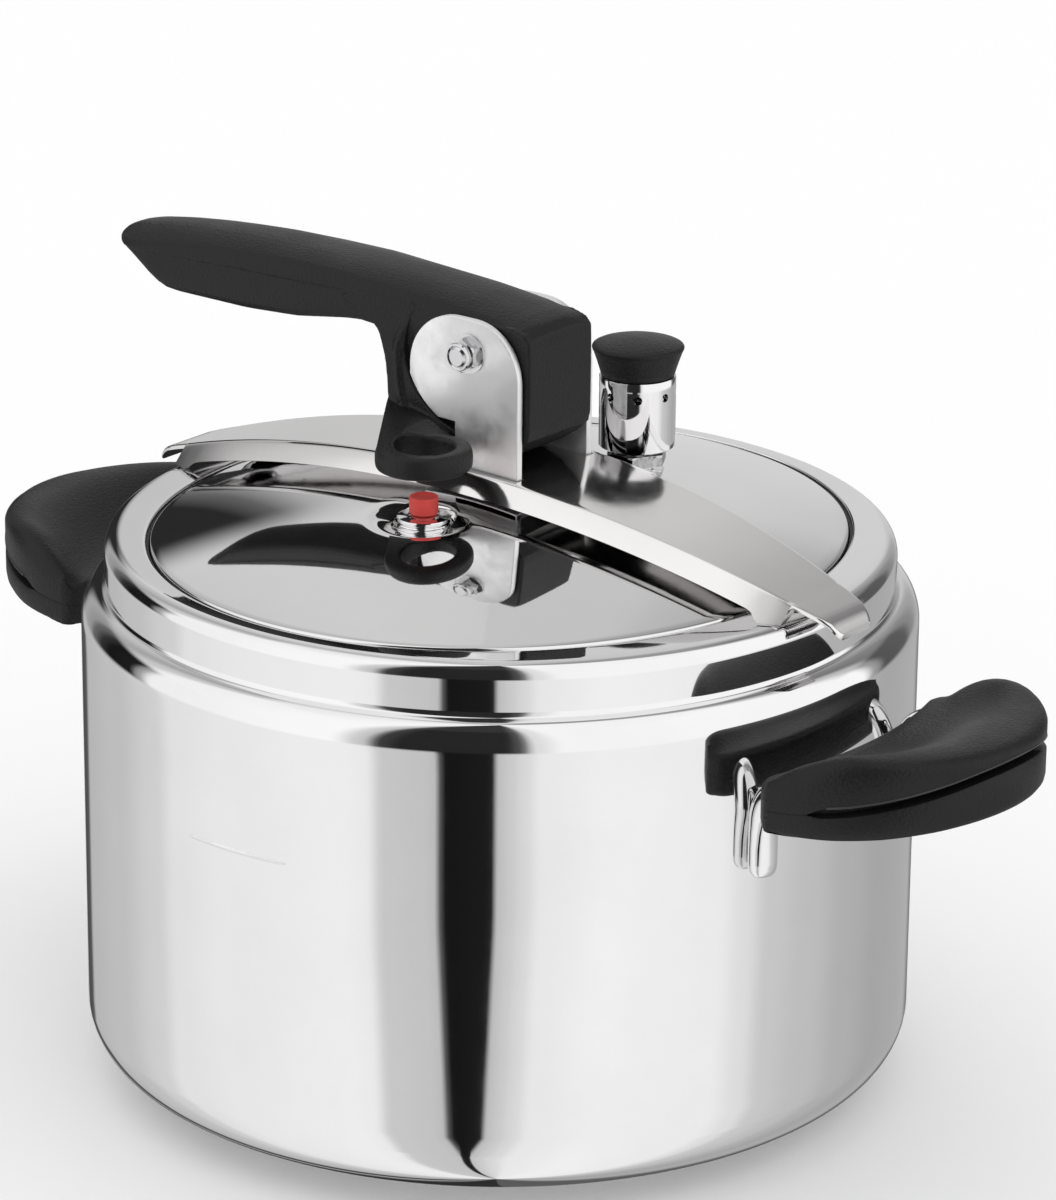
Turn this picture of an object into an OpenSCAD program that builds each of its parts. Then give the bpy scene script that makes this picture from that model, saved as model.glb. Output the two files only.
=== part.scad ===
// Stove-top pressure cooker with an inside oval lid, a spring bar and a cam lever.
// Origin: centre of the base. +Z is up, the spring bar and both side grips lie along X,
// the red pressure pin is on the -Y side and the operating valve on the +Y side.

/* [Pot] */
// Outer radius of the pot wall
pot_r = 109.4; // [109:0.1:114]
// Sheet thickness of the pot
pot_t = 1.2; // [0.8:0.1:1.6]
// Outer radius of the corner between the floor and the wall
corner_r = 13; // [8:1:20]
// Height where the wall starts to turn in
wall_top_z = 126.8; // [118:0.1:130]
// Radius of the rounded shoulder above the wall
shoulder_r = 6.4; // [5:0.1:7]
// Height of the flat rim that the lid presses against
rim_z = 147.2; // [144:0.1:148]
// Outer radius of the edge round below the rim
rim_round = 4.2; // [3:0.1:6]
// Half length of the oval mouth along X
mouth_a = 89.2; // [86:0.1:90]
// Half length of the oval mouth along Y
mouth_b = 95.8; // [93:0.1:96]

/* [Base] */
// Thickness of the base disc
base_h = 6; // [4:0.5:7]
// Radius of the base disc
base_r = 88; // [70:1:92]
// Sheet thickness of the base cap
cap_t = 0.8; // [0.5:0.1:1.2]

/* [Grips] */
// Radius of the wire bail
wire_r = 3.5; // [2.5:0.1:4]
// Height of the wire inside the grip, where the two grip halves meet
grip_z = 114; // [110:0.1:116]
// Angle of each bail leg from the X axis, seen from above
leg_angle = 15; // [12:1:20]
// Height of the lower end of each bail leg
leg_low_z = 88; // [80:1:95]
// Radius of a grip's hollow inner face, which runs round the pot's axis
grip_in = 117; // [116:0.5:119]
// Distance from the pot's axis to the outermost point of a grip
grip_out = 162.2; // [160:0.1:166]
// Outer radius of a grip, seen from above
grip_r = 42.3; // [42:0.1:45]
// Height of the upper half of a grip
grip_up = 13.4; // [11:0.1:14]
// Height of the lower half of a grip
grip_down = 8; // [7.5:0.1:11]

/* [Lid] */
// Height of the middle of the lid
lid_top_z = 160.1; // [158:0.1:161]
// Radius of the lid's dome
dome_r = 320; // [300:5:400]
// Sheet thickness of the lid
lid_t = 2; // [1.5:0.1:2.5]
// Gap between the raised part of the lid and the mouth
lid_gap = 1; // [0.5:0.1:1.4]
// How far the sealing flange reaches past the raised part
flange_w = 5.4; // [4:0.1:5.6]
// Height of the compressed gasket
gasket_h = 4; // [3:0.1:5]

/* [Lever] */
// Position of the lever's pivot along X
pivot_x = 1.6; // [0:0.1:3]
// Height of the lever's pivot
pivot_z = 198.4; // [196:0.1:199]
// Opening angle of the lever
lever_angle = 85; // [80:1:88]
// How far the lid drops while the lever opens
lid_drop = 10.4; // [9:0.1:11]
// Width of the lever between the ears
lever_w = 25.8; // [24:0.1:26]
// Diameter of the pivot bolt
bolt_d = 6; // [5:0.5:8]

/* [Spring bar] */
// Height of the bar's top in the middle
bar_z = 167.8; // [167:0.1:169]
// Half width of the bar's flat top in the middle
bar_w = 18; // [17:0.1:19]
// Sheet thickness of the bar
bar_t = 2; // [1.5:0.1:2.2]
// Half length of the bar up to its folded tips
bar_l = 100.4; // [99:0.1:101]

/* [Valves] */
// Position of the red pin along Y
pin_y = -31.5; // [-34:0.1:-31]
// Position of the operating valve along X
valve_x = 12; // [8:0.5:16]
// Position of the operating valve along Y
valve_y = 42; // [41:0.5:46]

/* [Hidden] */
$fn = 96;
tiny = 0.02;
running = 0.05;
steel = "silver";
black = "#242424";
rubber = "#3c3c3c";

// ---------- outlines ----------

function arc(c, r, a0, a1, n) =
    [for (i = [0:n]) let (a = a0 + (a1 - a0) * i / n) [c[0] + r * cos(a), c[1] + r * sin(a)]];

function spline_point(a, b, c, d, t) =
    0.5 * (2 * b + (c - a) * t + (2 * a - 5 * b + 4 * c - d) * t * t
    + (3 * b - a - 3 * c + d) * t * t * t);

// A smooth open curve through the points
function smooth(p, n) = concat(
    [for (i = [0:len(p) - 2], k = [0:n - 1])
        spline_point(p[max(i - 1, 0)], p[i], p[i + 1], p[min(i + 2, len(p) - 1)], k / n)],
    [p[len(p) - 1]]);

module oval(a, b) {
    polygon([for (i = [0:119]) [a * cos(3 * i), b * sin(3 * i)]]);
}

module oval_ring(a, b, w, h) {
    linear_extrude(h)
        difference() {
            oval(a, b);
            oval(a - w, b - w);
        }
}

// An outline drawn in X and Z, made w wide and centred on Y
module upright(w) {
    rotate([90, 0, 0])
        linear_extrude(w, center = true)
            children();
}

// A cylinder along Y from y0 to y1, centred on the lever's pivot
module pivot_cylinder(r, y0, y1, fn = 96) {
    translate([pivot_x, y1, pivot_z])
        rotate([90, 0, 0])
            cylinder(r = r, h = y1 - y0, $fn = fn);
}

module tube(r_out, r_in, h) {
    difference() {
        cylinder(r = r_out, h = h);
        translate([0, 0, -1])
            cylinder(r = r_in, h = h + 2);
    }
}

module hex_nut(across, r_in, h) {
    difference() {
        cylinder(r = across / sqrt(3), h = h, $fn = 6);
        translate([0, 0, -1])
            cylinder(r = r_in, h = h + 2);
    }
}

// ---------- pot ----------

tier_r = pot_r - shoulder_r;
tier_z = wall_top_z + shoulder_r;

// Outline of the closed pot, moved inwards by s
function pot_outline(s) = concat(
    [[0, base_h + s]],
    arc([pot_r - corner_r, base_h + corner_r], corner_r - s, -90, 0, 10),
    arc([tier_r, wall_top_z], shoulder_r - s, 0, 90, 10),
    [[tier_r - s, tier_z - s]],
    arc([tier_r - rim_round, rim_z - rim_round], rim_round - s, 0, 90, 8),
    [[0, rim_z - s]]);

module pot_body() {
    color(steel)
        difference() {
            rotate_extrude()
                difference() {
                    polygon(pot_outline(0));
                    polygon(pot_outline(pot_t));
                }
            translate([0, 0, rim_z - 10])
                linear_extrude(20)
                    oval(mouth_a, mouth_b);
        }
}

module base_core() {
    color("lightgray")
        translate([0, 0, cap_t])
            cylinder(r = base_r - cap_t, h = base_h - cap_t);
}

module base_cap() {
    edge_r = 2;
    color(steel)
        rotate_extrude()
            difference() {
                polygon(concat([[0, 0]], arc([base_r - edge_r, edge_r], edge_r, -90, 0, 6),
                    [[base_r, base_h], [0, base_h]]));
                translate([0, cap_t])
                    square([base_r - cap_t, base_h]);
            }
}

// ---------- grips ----------

weld = 0.3;
leg_r = pot_r + wire_r - weld;
leg_x = leg_r * cos(leg_angle);
leg_y = leg_r * sin(leg_angle);
bend_r = 7;
cross_x = 136;
screw_x = 128;
screw_y = 15;
screw_r = 1.75;
screw_head_r = 3.5;
screw_head_h = 2.4;
screw_top = grip_z + 2;

// The wire of one bail, with its surface moved outwards by s
module wire(s) {
    r = wire_r + s;
    for (side = [-1, 1])
        translate([leg_x, side * leg_y, 0]) {
            translate([0, 0, leg_low_z])
                cylinder(r = r, h = grip_z - bend_r - leg_low_z);
            translate([bend_r, 0, grip_z - bend_r])
                rotate([90, 0, 0])
                    rotate([0, 0, 90])
                        rotate_extrude(angle = 90)
                            translate([bend_r, 0])
                                circle(r = r);
            translate([bend_r, 0, grip_z])
                rotate([0, 90, 0])
                    cylinder(r = r, h = cross_x - leg_x - bend_r);
            translate([cross_x - leg_x, 0, grip_z])
                sphere(r = r);
        }
    translate([cross_x, leg_y, grip_z])
        rotate([90, 0, 0])
            cylinder(r = r, h = 2 * leg_y);
}

module bail() {
    color(steel)
        difference() {
            wire(0);
            cylinder(r = pot_r, h = rim_z);
        }
}

// A solid of revolution about the centre of the grip's outer arc, hollowed out round the pot
module grip_blank(outline) {
    difference() {
        translate([grip_out - grip_r, 0, grip_z])
            rotate_extrude()
                polygon(outline);
        translate([0, 0, grip_z - 20])
            cylinder(r = grip_in, h = 40, $fn = 192);
    }
}

module grip_upper() {
    edge = 9;
    groove_h = 2.6;
    groove_d = 4;
    groove_y = 39;
    color(black)
        difference() {
            grip_blank(concat([[0, 0], [grip_r, 0]],
                arc([grip_r - edge, grip_up - edge], edge, 0, 90, 8), [[0, grip_up]]));
            wire(running);
            intersection() {
                translate([grip_out - grip_r, 0, grip_z - tiny])
                    tube(grip_r + 1, grip_r - groove_d, groove_h);
                translate([grip_out - grip_r, -groove_y, grip_z - 1])
                    cube([grip_r + 2, 2 * groove_y, groove_h + 2]);
            }
            screw_holes(screw_r + tiny);
        }
}

module grip_lower() {
    edge = 7;
    color(black)
        difference() {
            grip_blank(concat([[0, -grip_down]],
                arc([grip_r - edge, edge - grip_down], edge, -90, 0, 8), [[grip_r, 0], [0, 0]]));
            wire(running);
            screw_holes(screw_r + 0.2);
            for (side = [-1, 1])
                translate([screw_x, side * screw_y, grip_z - grip_down - 1])
                    cylinder(r = screw_head_r + 0.3, h = 1 + screw_head_h + 0.6);
        }
}

module screw_holes(r) {
    for (side = [-1, 1])
        translate([screw_x, side * screw_y, grip_z - grip_down - 1])
            cylinder(r = r, h = screw_top - grip_z + grip_down + 1 + tiny);
}

module grip_screws() {
    head_z = grip_z - grip_down + 0.6;
    color(steel)
        for (side = [-1, 1])
            translate([screw_x, side * screw_y, 0])
                difference() {
                    union() {
                        translate([0, 0, head_z])
                            cylinder(r = screw_head_r, h = screw_head_h);
                        translate([0, 0, head_z + screw_head_h - tiny])
                            cylinder(r = screw_r, h = screw_top - head_z - screw_head_h);
                    }
                    for (turn = [0, 90])
                        rotate([0, 0, turn])
                            translate([-2, -0.4, head_z - 1])
                                cube([4, 0.8, 2.2]);
                }
}

module left() {
    rotate([0, 0, 180])
        children();
}

// ---------- spring bar ----------

bar_round = 670;
bar_arch = 322;
slot_gap = 0.4;
ear_t = 2.2;
ear_in = 13.3;
ear_x0 = -3;
ear_x1 = 17.5;
foot_x = 94;
flange_d = 4.8;

function bar_top(x) = bar_z - bar_arch + sqrt(bar_arch * bar_arch - x * x);
function bar_half(x) = bar_w - bar_round + sqrt(bar_round * bar_round - x * x);
function bar_flange(x) =
    let (foot = bar_top(x) - rim_z, k = min(max((abs(x) - foot_x + 3) / 3, 0), 1))
    flange_d + (foot - flange_d) * k;

// Height and half width of the bar's flat top, its bent tips included
tip_x = [bar_l + 0.05, 109.8, 112.9];
tip_drop = [0, 3.7, 6.4];
tip_half = [10.4, 8.2, 5.6];

function bar_height(x) =
    abs(x) <= bar_l ? bar_top(x) : bar_top(bar_l) - lookup(abs(x), [for (i = [0:2]) [tip_x[i], tip_drop[i]]]);
function bar_width(x) =
    abs(x) <= bar_l ? bar_half(x) : lookup(abs(x), [for (i = [0:2]) [tip_x[i], tip_half[i]]]);
function bar_edge(x) = abs(x) <= bar_l ? bar_flange(x) : bar_t + 0.1;

// Section across the bar: a flat top with both edges folded down at 45 degrees
function bar_section(x) =
    let (w = bar_width(x), z = bar_height(x), f = bar_edge(x), t = bar_t * sqrt(2))
    [[x, -w - f, z - f], [x, -w, z], [x, w, z], [x, w + f, z - f],
     [x, w + f - t, z - f], [x, w + bar_t - t, z - bar_t],
     [x, -w - bar_t + t, z - bar_t], [x, -w - f + t, z - f]];

module bar_sheet() {
    steps = 52;
    stations = concat(
        [for (i = [2:-1:0]) -tip_x[i]],
        [for (i = [0:steps]) bar_l * (2 * i / steps - 1)],
        [for (i = [0:2]) tip_x[i]]);
    last = len(stations) - 1;
    polyhedron(
        points = [for (x = stations) each bar_section(x)],
        faces = concat(
            [[0, 1, 6], [0, 6, 7], [1, 2, 5], [1, 5, 6], [2, 3, 4], [2, 4, 5]],
            [for (f = [[0, 6, 1], [0, 7, 6], [1, 5, 2], [1, 6, 5], [2, 4, 3], [2, 5, 4]])
                [for (k = f) last * 8 + k]],
            [for (i = [0:last - 1], k = [0:7]) [i * 8 + k, (i + 1) * 8 + k, (i + 1) * 8 + (k + 1) % 8]],
            [for (i = [0:last - 1], k = [0:7]) [i * 8 + k, (i + 1) * 8 + (k + 1) % 8, i * 8 + (k + 1) % 8]]),
        convexity = 4);
}

module spring_bar() {
    color(steel)
        difference() {
            bar_sheet();
            for (side = [-1, 1])
                translate([ear_x0 - slot_gap, side * (ear_in + ear_t / 2) - ear_t / 2 - slot_gap, bar_z - 6])
                    cube([ear_x1 - ear_x0 + 2 * slot_gap, ear_t + 2 * slot_gap, 12]);
        }
}

// ---------- lid ----------

raised_a = mouth_a - lid_gap;
raised_b = mouth_b - lid_gap - 0.4;
flange_top = rim_z - pot_t - 0.1 - gasket_h;
flange_z = flange_top - lid_t;
stud_r = 4;
port_r = 5;
recess_r = 8;
recess_z = 156.6;
boss_r = 9.5;
pin_at = [0, pin_y, 0];
valve_at = [valve_x, valve_y, 0];

function dome_z(r) = lid_top_z - dome_r + sqrt(dome_r * dome_r - r * r);

boss_z = dome_z(norm([valve_x, valve_y])) + 0.4;
boss_drop = 2.2;

// Everything below the dome's surface, lowered by s, down to the flange
module under_dome(s) {
    far = mouth_b + 4;
    rotate_extrude($fn = 144)
        polygon(concat([[0, flange_z - s]], [[far, flange_z - s]],
            [for (i = [0:12]) let (r = far * (1 - i / 12)) [r, dome_z(r) - s]]));
}

module lid() {
    color(steel)
        difference() {
            union() {
                intersection() {
                    difference() {
                        under_dome(0);
                        under_dome(lid_t);
                    }
                    translate([0, 0, flange_z])
                        linear_extrude(40)
                            oval(raised_a, raised_b);
                }
                intersection() {
                    under_dome(0);
                    translate([0, 0, flange_z])
                        oval_ring(raised_a, raised_b, lid_t, 40);
                }
                translate([0, 0, flange_z])
                    oval_ring(raised_a + flange_w, raised_b + flange_w, flange_w + lid_t, lid_t);
                translate(pin_at + [0, 0, recess_z - lid_t])
                    cylinder(r = boss_r, h = lid_t + 0.6);
                translate(valve_at + [0, 0, boss_z - lid_t - boss_drop])
                    cylinder(r = boss_r, h = lid_t + boss_drop);
            }
            translate(valve_at + [0, 0, boss_z])
                cylinder(r = boss_r, h = 10);
            translate(pin_at + [0, 0, recess_z])
                cylinder(r = recess_r, h = 10);
            translate([0, 0, flange_z])
                cylinder(r = stud_r + running, h = 40);
            for (at = [pin_at, valve_at])
                translate(at + [0, 0, flange_z])
                    cylinder(r = port_r + running, h = 40);
        }
}

module lid_gasket() {
    color(rubber)
        translate([0, 0, flange_top])
            oval_ring(raised_a + flange_w - 1.1, raised_b + flange_w - 1.1, flange_w - 1.4, gasket_h);
}

// ---------- stirrup ----------

base_plate_z = lid_top_z;
head_r = 15;
head_z = 192.2;
web_cut_r = 22.3;
lobe_z = bar_z + lid_drop + 0.8;

// Side view of one ear: a stem with a rounded head around the pivot
module ear_outline() {
    translate([ear_x1 - head_r, head_z])
        circle(r = head_r);
    translate([ear_x0, base_plate_z])
        square([ear_x1 - ear_x0, head_z + head_r - base_plate_z - 0.3]);
    intersection() {
        translate([pivot_x, pivot_z])
            circle(r = web_cut_r - 0.5);
        translate([ear_x0 - 20, lobe_z])
            square([20 + tiny, head_z + head_r - lobe_z]);
        union() {
            translate([ear_x0, head_z])
                circle(r = head_r);
            translate([ear_x0 - 20, lobe_z])
                square([20 + tiny, head_z - lobe_z]);
        }
    }
}

module stirrup() {
    plate_x0 = -13;
    color(steel)
        difference() {
            union() {
                for (side = [-1, 1])
                    translate([0, side * (ear_in + ear_t / 2), 0])
                        upright(ear_t)
                            ear_outline();
                translate([plate_x0, -ear_in - ear_t, base_plate_z])
                    cube([ear_x1 - plate_x0, 2 * (ear_in + ear_t), ear_t]);
            }
            pivot_cylinder(bolt_d / 2 + running, -30, 30);
            translate([0, 0, base_plate_z - 1])
                cylinder(r = stud_r + running, h = 5);
        }
}

stud_top = base_plate_z + ear_t;
lid_under = lid_top_z - lid_t;
stud_seal_h = 1.5;
stud_nut_h = 6;

module stirrup_bolt() {
    stud_end = lid_under - stud_seal_h - stud_nut_h - 2;
    color(steel) {
        translate([0, 0, stud_top])
            cylinder(r1 = 7, r2 = 6, h = 2);
        translate([0, 0, stud_end])
            cylinder(r = stud_r, h = stud_top - stud_end + tiny);
    }
}

module stirrup_seal() {
    color(rubber)
        translate([0, 0, lid_under - stud_seal_h])
            tube(8, stud_r + tiny, stud_seal_h - 0.2);
}

module stirrup_nut() {
    color(steel)
        translate([0, 0, lid_under - stud_seal_h - stud_nut_h])
            hex_nut(13, stud_r + tiny, stud_nut_h);
}

// ---------- pivot ----------

ear_out = ear_in + ear_t;
washer_t = 0.6;
nut_t = 2.8;
collar_t = 1.6;
head_t = 4;

module pivot_bolt() {
    color(steel) {
        pivot_cylinder(bolt_d / 2, -ear_out - washer_t - nut_t - collar_t - 0.5, ear_out + washer_t + tiny);
        pivot_cylinder(5, ear_out + washer_t, ear_out + washer_t + head_t, 6);
    }
}

module pivot_washers() {
    color(steel)
        for (y = [-ear_out - washer_t, ear_out])
            difference() {
                pivot_cylinder(5.2, y, y + washer_t);
                pivot_cylinder(bolt_d / 2 + tiny, y - 1, y + washer_t + 1);
            }
}

module pivot_nut() {
    across = 8.4;
    y = -ear_out - washer_t;
    color(steel)
        difference() {
            union() {
                pivot_cylinder(across / sqrt(3), y - nut_t, y, 6);
                pivot_cylinder(across / 2 - 0.3, y - nut_t - collar_t, y);
            }
            pivot_cylinder(bolt_d / 2 + tiny, y - nut_t - collar_t - 1, y + 1);
        }
}

// ---------- lever ----------

cam_h = pivot_z - bar_z - running;
cam_rate = lid_drop / (lever_angle * PI / 180);
bush_r = 5.5;
ring_r = 12.5;
ring_hole_r = 7.75;
ring_h = 6;
ring_z = 171.4;
leg_in = -12.5;
leg_out = -16.6;

// Cam outline about the pivot: its reach towards the bar shrinks evenly as the lever opens
function cam_point(a) =
    let (reach = cam_h - cam_rate * a * PI / 180)
    [pivot_x + reach * sin(a) - cam_rate * cos(a), pivot_z - reach * cos(a) - cam_rate * sin(a)];

module hub_outline() {
    polygon(concat(
        [for (i = [0:17]) cam_point(lever_angle * i / 17)],
        smooth([[20.6, 196], [20.2, 202.4], [18.8, 206], [15, 208.4], [2, 210.8],
            [-16, 212.6], [-34, 213.4]], 4),
        smooth([[-34, 197.5], [-29.5, 196], [-27.4, 192], [-26.4, 184], [-24.5, 176],
            [-17, 170.5], [-10, 168.4]], 4)));
}

// Side view of the handle
module handle_outline() {
    polygon(concat(
        smooth([[-20, 213.1], [-50, 213.4], [-76, 213.2], [-100, 211.8], [-120, 208.8],
            [-130, 205.2], [-134.6, 200]], 5),
        smooth([[-132, 196.6], [-122, 191.6], [-113, 189.8], [-97, 189.5], [-79, 189.8],
            [-62, 191.6], [-46, 194.8], [-34, 197.2], [-24, 197.4]], 5)));
}

// Handle seen from above
module handle_plan() {
    half = [[-20, 12.9], [-60, 13], [-95, 12.6], [-115, 10.6], [-127, 7.4], [-133, 3.6], [-135, 0]];
    polygon(concat(smooth(half, 5),
        [for (p = smooth([for (i = [6:-1:0]) [half[i][0], -half[i][1]]], 5)) p]));
}

module lever_leg() {
    difference() {
        union() {
            translate([-26.5, leg_out, 183])
                cube([6, leg_in - leg_out, 16]);
            hull() {
                translate([-26.5, leg_out, 182])
                    cube([6, leg_in - leg_out, 3]);
                translate([-5, pin_y + 4, ring_z])
                    cylinder(r = 8, h = ring_h, $fn = 32);
            }
        }
        pivot_cylinder(web_cut_r, -ear_out - 0.5, 0);
    }
}

module lever_body() {
    color(black)
        difference() {
            union() {
                upright(lever_w)
                    hub_outline();
                intersection() {
                    upright(lever_w)
                        handle_outline();
                    translate([0, 0, pivot_z - 20])
                        linear_extrude(40)
                            handle_plan();
                }
                lever_leg();
                translate([0, pin_y, ring_z])
                    cylinder(r = ring_r, h = ring_h);
            }
            translate([0, pin_y, ring_z - 10])
                cylinder(r = ring_hole_r, h = 30);
            pivot_cylinder(bush_r + tiny, -30, 30);
        }
}

module lever_bush() {
    color("lightgray")
        difference() {
            pivot_cylinder(bush_r, -lever_w / 2 - 0.1, lever_w / 2 + 0.1);
            pivot_cylinder(bolt_d / 2 + running, -30, 30);
        }
}

// ---------- red pin ----------

pin_r = 2;
pin_seat_end = 150.6;
pin_foot_z = 137.6;
pin_foot_h = 1.8;
pin_ring_h = 1.6;
port_seal_h = 1.5;
port_nut_h = 4;

module pin_seat() {
    color(steel)
        translate(pin_at)
            difference() {
                union() {
                    translate([0, 0, recess_z])
                        cylinder(r = 7, h = 1.2);
                    translate([0, 0, recess_z + 1.1])
                        cylinder(r1 = 5.4, r2 = 4.9, h = 0.6);
                    translate([0, 0, pin_seat_end])
                        cylinder(r = port_r, h = recess_z - pin_seat_end + tiny);
                }
                translate([0, 0, pin_seat_end - 1])
                    cylinder(r = pin_r + running, h = 20);
            }
}

module port_seal(at, z) {
    color(rubber)
        translate(at + [0, 0, z - port_seal_h])
            tube(8.5, port_r + tiny, port_seal_h);
}

module port_nut(at, z) {
    color(steel)
        translate(at + [0, 0, z - port_seal_h - port_nut_h])
            hex_nut(14, port_r + tiny, port_nut_h);
}

pin_under = recess_z - lid_t;
valve_under = boss_z - lid_t - boss_drop;

module pin_seal() {
    port_seal(pin_at, pin_under);
}

module pin_nut() {
    port_nut(pin_at, pin_under);
}

module pin_stem() {
    color(steel)
        translate(pin_at) {
            translate([0, 0, pin_foot_z])
                cylinder(r = 4.4, h = pin_foot_h);
            translate([0, 0, pin_foot_z])
                cylinder(r = pin_r, h = 162 - pin_foot_z);
        }
}

module pin_cap() {
    cap_z = 158.5;
    cap_r = 3.75;
    cap_h = 5.5;
    color("#d8433c")
        translate(pin_at)
            difference() {
                rotate_extrude()
                    polygon(concat([[0, cap_z], [cap_r - 0.2, cap_z], [cap_r, cap_z + 0.3]],
                        arc([cap_r - 0.6, cap_z + cap_h - 0.6], 0.6, 0, 90, 4), [[0, cap_z + cap_h]]));
                translate([0, 0, cap_z - 1])
                    cylinder(r = pin_r + tiny, h = 162 - cap_z + 1);
            }
}

module pin_ring() {
    color(rubber)
        translate(pin_at + [0, 0, pin_foot_z + pin_foot_h])
            tube(3.8, pin_r + tiny, pin_ring_h);
}

// ---------- operating valve ----------

nozzle_top = 171;
nozzle_bore = 1.5;
sleeve_r = 10.1;
sleeve_in = 8.6;
sleeve_low = 162;
sleeve_top = 181.5;
sleeve_roof = 1.6;
needle_r = 2.5;
needle_head_z = 172.6;
spring_wire = 0.5;
spring_mid_r = 5.2;

module valve_seat() {
    color(steel)
        translate(valve_at)
            difference() {
                union() {
                    translate([0, 0, boss_z])
                        cylinder(r = 8.4, h = 3.2, $fn = 6);
                    translate([0, 0, boss_z])
                        cylinder(r = 5.45, h = nozzle_top - boss_z);
                    translate([0, 0, valve_under - port_seal_h - port_nut_h - 1.5])
                        cylinder(r = port_r, h = 12);
                }
                cylinder(r = nozzle_bore, h = 200);
            }
}

module valve_seal() {
    port_seal(valve_at, valve_under);
}

module valve_nut() {
    port_nut(valve_at, valve_under);
}

module valve_sleeve() {
    vent_r = 1;
    vent_z = 177;
    color(steel)
        translate(valve_at)
            difference() {
                translate([0, 0, sleeve_low])
                    cylinder(r = sleeve_r, h = sleeve_top - sleeve_low);
                translate([0, 0, sleeve_low - 1])
                    cylinder(r = sleeve_in, h = sleeve_top - sleeve_low - sleeve_roof + 1);
                cylinder(r = needle_r + tiny, h = 200);
                for (turn = [0:45:315])
                    translate([0, 0, vent_z])
                        rotate([90, 0, turn + 38])
                            cylinder(r = vent_r, h = sleeve_r + 1, $fn = 24);
            }
}

module valve_knob() {
    knob_top = 191.6;
    color(black)
        translate(valve_at)
            difference() {
                rotate_extrude()
                    polygon(concat([[0, sleeve_top], [9.8, sleeve_top]],
                        smooth([[9.8, sleeve_top], [10.3, 183.6], [11.1, 186], [12.1, 188.3],
                            [12, 189.6], [10, 190.6], [5, 191.4], [0, knob_top]], 4)));
                translate([0, 0, sleeve_top - 1])
                    cylinder(r = needle_r + tiny, h = 7);
            }
}

module valve_needle() {
    color(steel)
        translate(valve_at) {
            translate([0, 0, needle_head_z])
                cylinder(r = needle_r, h = sleeve_top + 6 - needle_head_z);
            translate([0, 0, needle_head_z])
                cylinder(r = 6.4, h = 1.2);
            translate([0, 0, nozzle_top])
                cylinder(r1 = nozzle_bore - running, r2 = needle_r, h = needle_head_z - nozzle_top);
            translate([0, 0, nozzle_top - 8])
                cylinder(r = nozzle_bore - running, h = 8);
        }
}

// Helical spring that presses the needle down inside the sleeve
module valve_spring() {
    turns = 3;
    steps = 20;
    sides = 8;
    z0 = needle_head_z + 1.2 + spring_wire;
    z1 = sleeve_top - sleeve_roof - spring_wire;
    n = turns * steps;
    function coil_ring(i) =
        [for (k = [0:sides - 1])
            let (r = spring_mid_r + spring_wire * cos(360 * k / sides), a = 360 * i / steps)
            [r * cos(a), r * sin(a), z0 + (z1 - z0) * i / n + spring_wire * sin(360 * k / sides)]];
    color(steel)
        translate(valve_at)
            polyhedron(
                points = [for (i = [0:n]) each coil_ring(i)],
                faces = concat(
                    [[for (k = [0:sides - 1]) k]],
                    [[for (k = [sides - 1:-1:0]) n * sides + k]],
                    [for (i = [0:n - 1], k = [0:sides - 1])
                        [i * sides + k, (i + 1) * sides + k,
                         (i + 1) * sides + (k + 1) % sides, i * sides + (k + 1) % sides]]),
                convexity = 8);
}

pot_body();
base_core();
base_cap();
bail();  // bail_right
left() bail();  // bail_left
grip_upper();  // grip_upper_right
grip_lower();  // grip_lower_right
left() grip_upper();  // grip_upper_left
left() grip_lower();  // grip_lower_left
grip_screws();  // grip_screws_right
left() grip_screws();  // grip_screws_left
spring_bar();
lid();
lid_gasket();
stirrup();
stirrup_bolt();
stirrup_seal();
stirrup_nut();
pivot_bolt();
pivot_washers();
pivot_nut();
pin_seat();
pin_seal();
pin_nut();
valve_seat();
valve_seal();
valve_nut();
lever_body();
lever_bush();
pin_stem();
pin_cap();
pin_ring();
valve_sleeve();
valve_knob();
valve_needle();
valve_spring();
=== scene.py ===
from math import acos, asin, copysign, cos, hypot, pi, radians, sin, sqrt

import bmesh
import bpy
from mathutils import Matrix, Vector


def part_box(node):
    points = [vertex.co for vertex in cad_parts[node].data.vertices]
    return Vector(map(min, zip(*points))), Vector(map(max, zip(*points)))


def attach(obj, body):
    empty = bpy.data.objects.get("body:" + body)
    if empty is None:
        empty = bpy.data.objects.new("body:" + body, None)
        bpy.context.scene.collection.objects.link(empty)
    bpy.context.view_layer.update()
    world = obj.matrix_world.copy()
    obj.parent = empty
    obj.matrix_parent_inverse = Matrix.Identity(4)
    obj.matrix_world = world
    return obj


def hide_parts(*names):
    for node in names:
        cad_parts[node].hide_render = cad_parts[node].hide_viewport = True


# Looks of the pressure cooker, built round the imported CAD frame. Shapes below are in millimetres in
# the frame's own axes: +Z up, spring bar and grips along X, lever pointing to -X, red pin towards -Y.

MM = 0.001
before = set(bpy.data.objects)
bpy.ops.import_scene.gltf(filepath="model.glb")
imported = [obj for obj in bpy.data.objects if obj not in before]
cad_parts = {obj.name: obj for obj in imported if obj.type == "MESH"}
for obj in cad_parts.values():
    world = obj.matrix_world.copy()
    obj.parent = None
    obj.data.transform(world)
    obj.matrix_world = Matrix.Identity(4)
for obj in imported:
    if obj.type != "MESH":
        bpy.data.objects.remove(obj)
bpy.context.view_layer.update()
scene = bpy.context.scene


def low(node):
    """Lowest corner of a CAD node's box in millimetres."""
    return [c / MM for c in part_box(node)[0]]


def high(node):
    """Highest corner of a CAD node's box in millimetres."""
    return [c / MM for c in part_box(node)[1]]


# ---- driving dimensions

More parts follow.
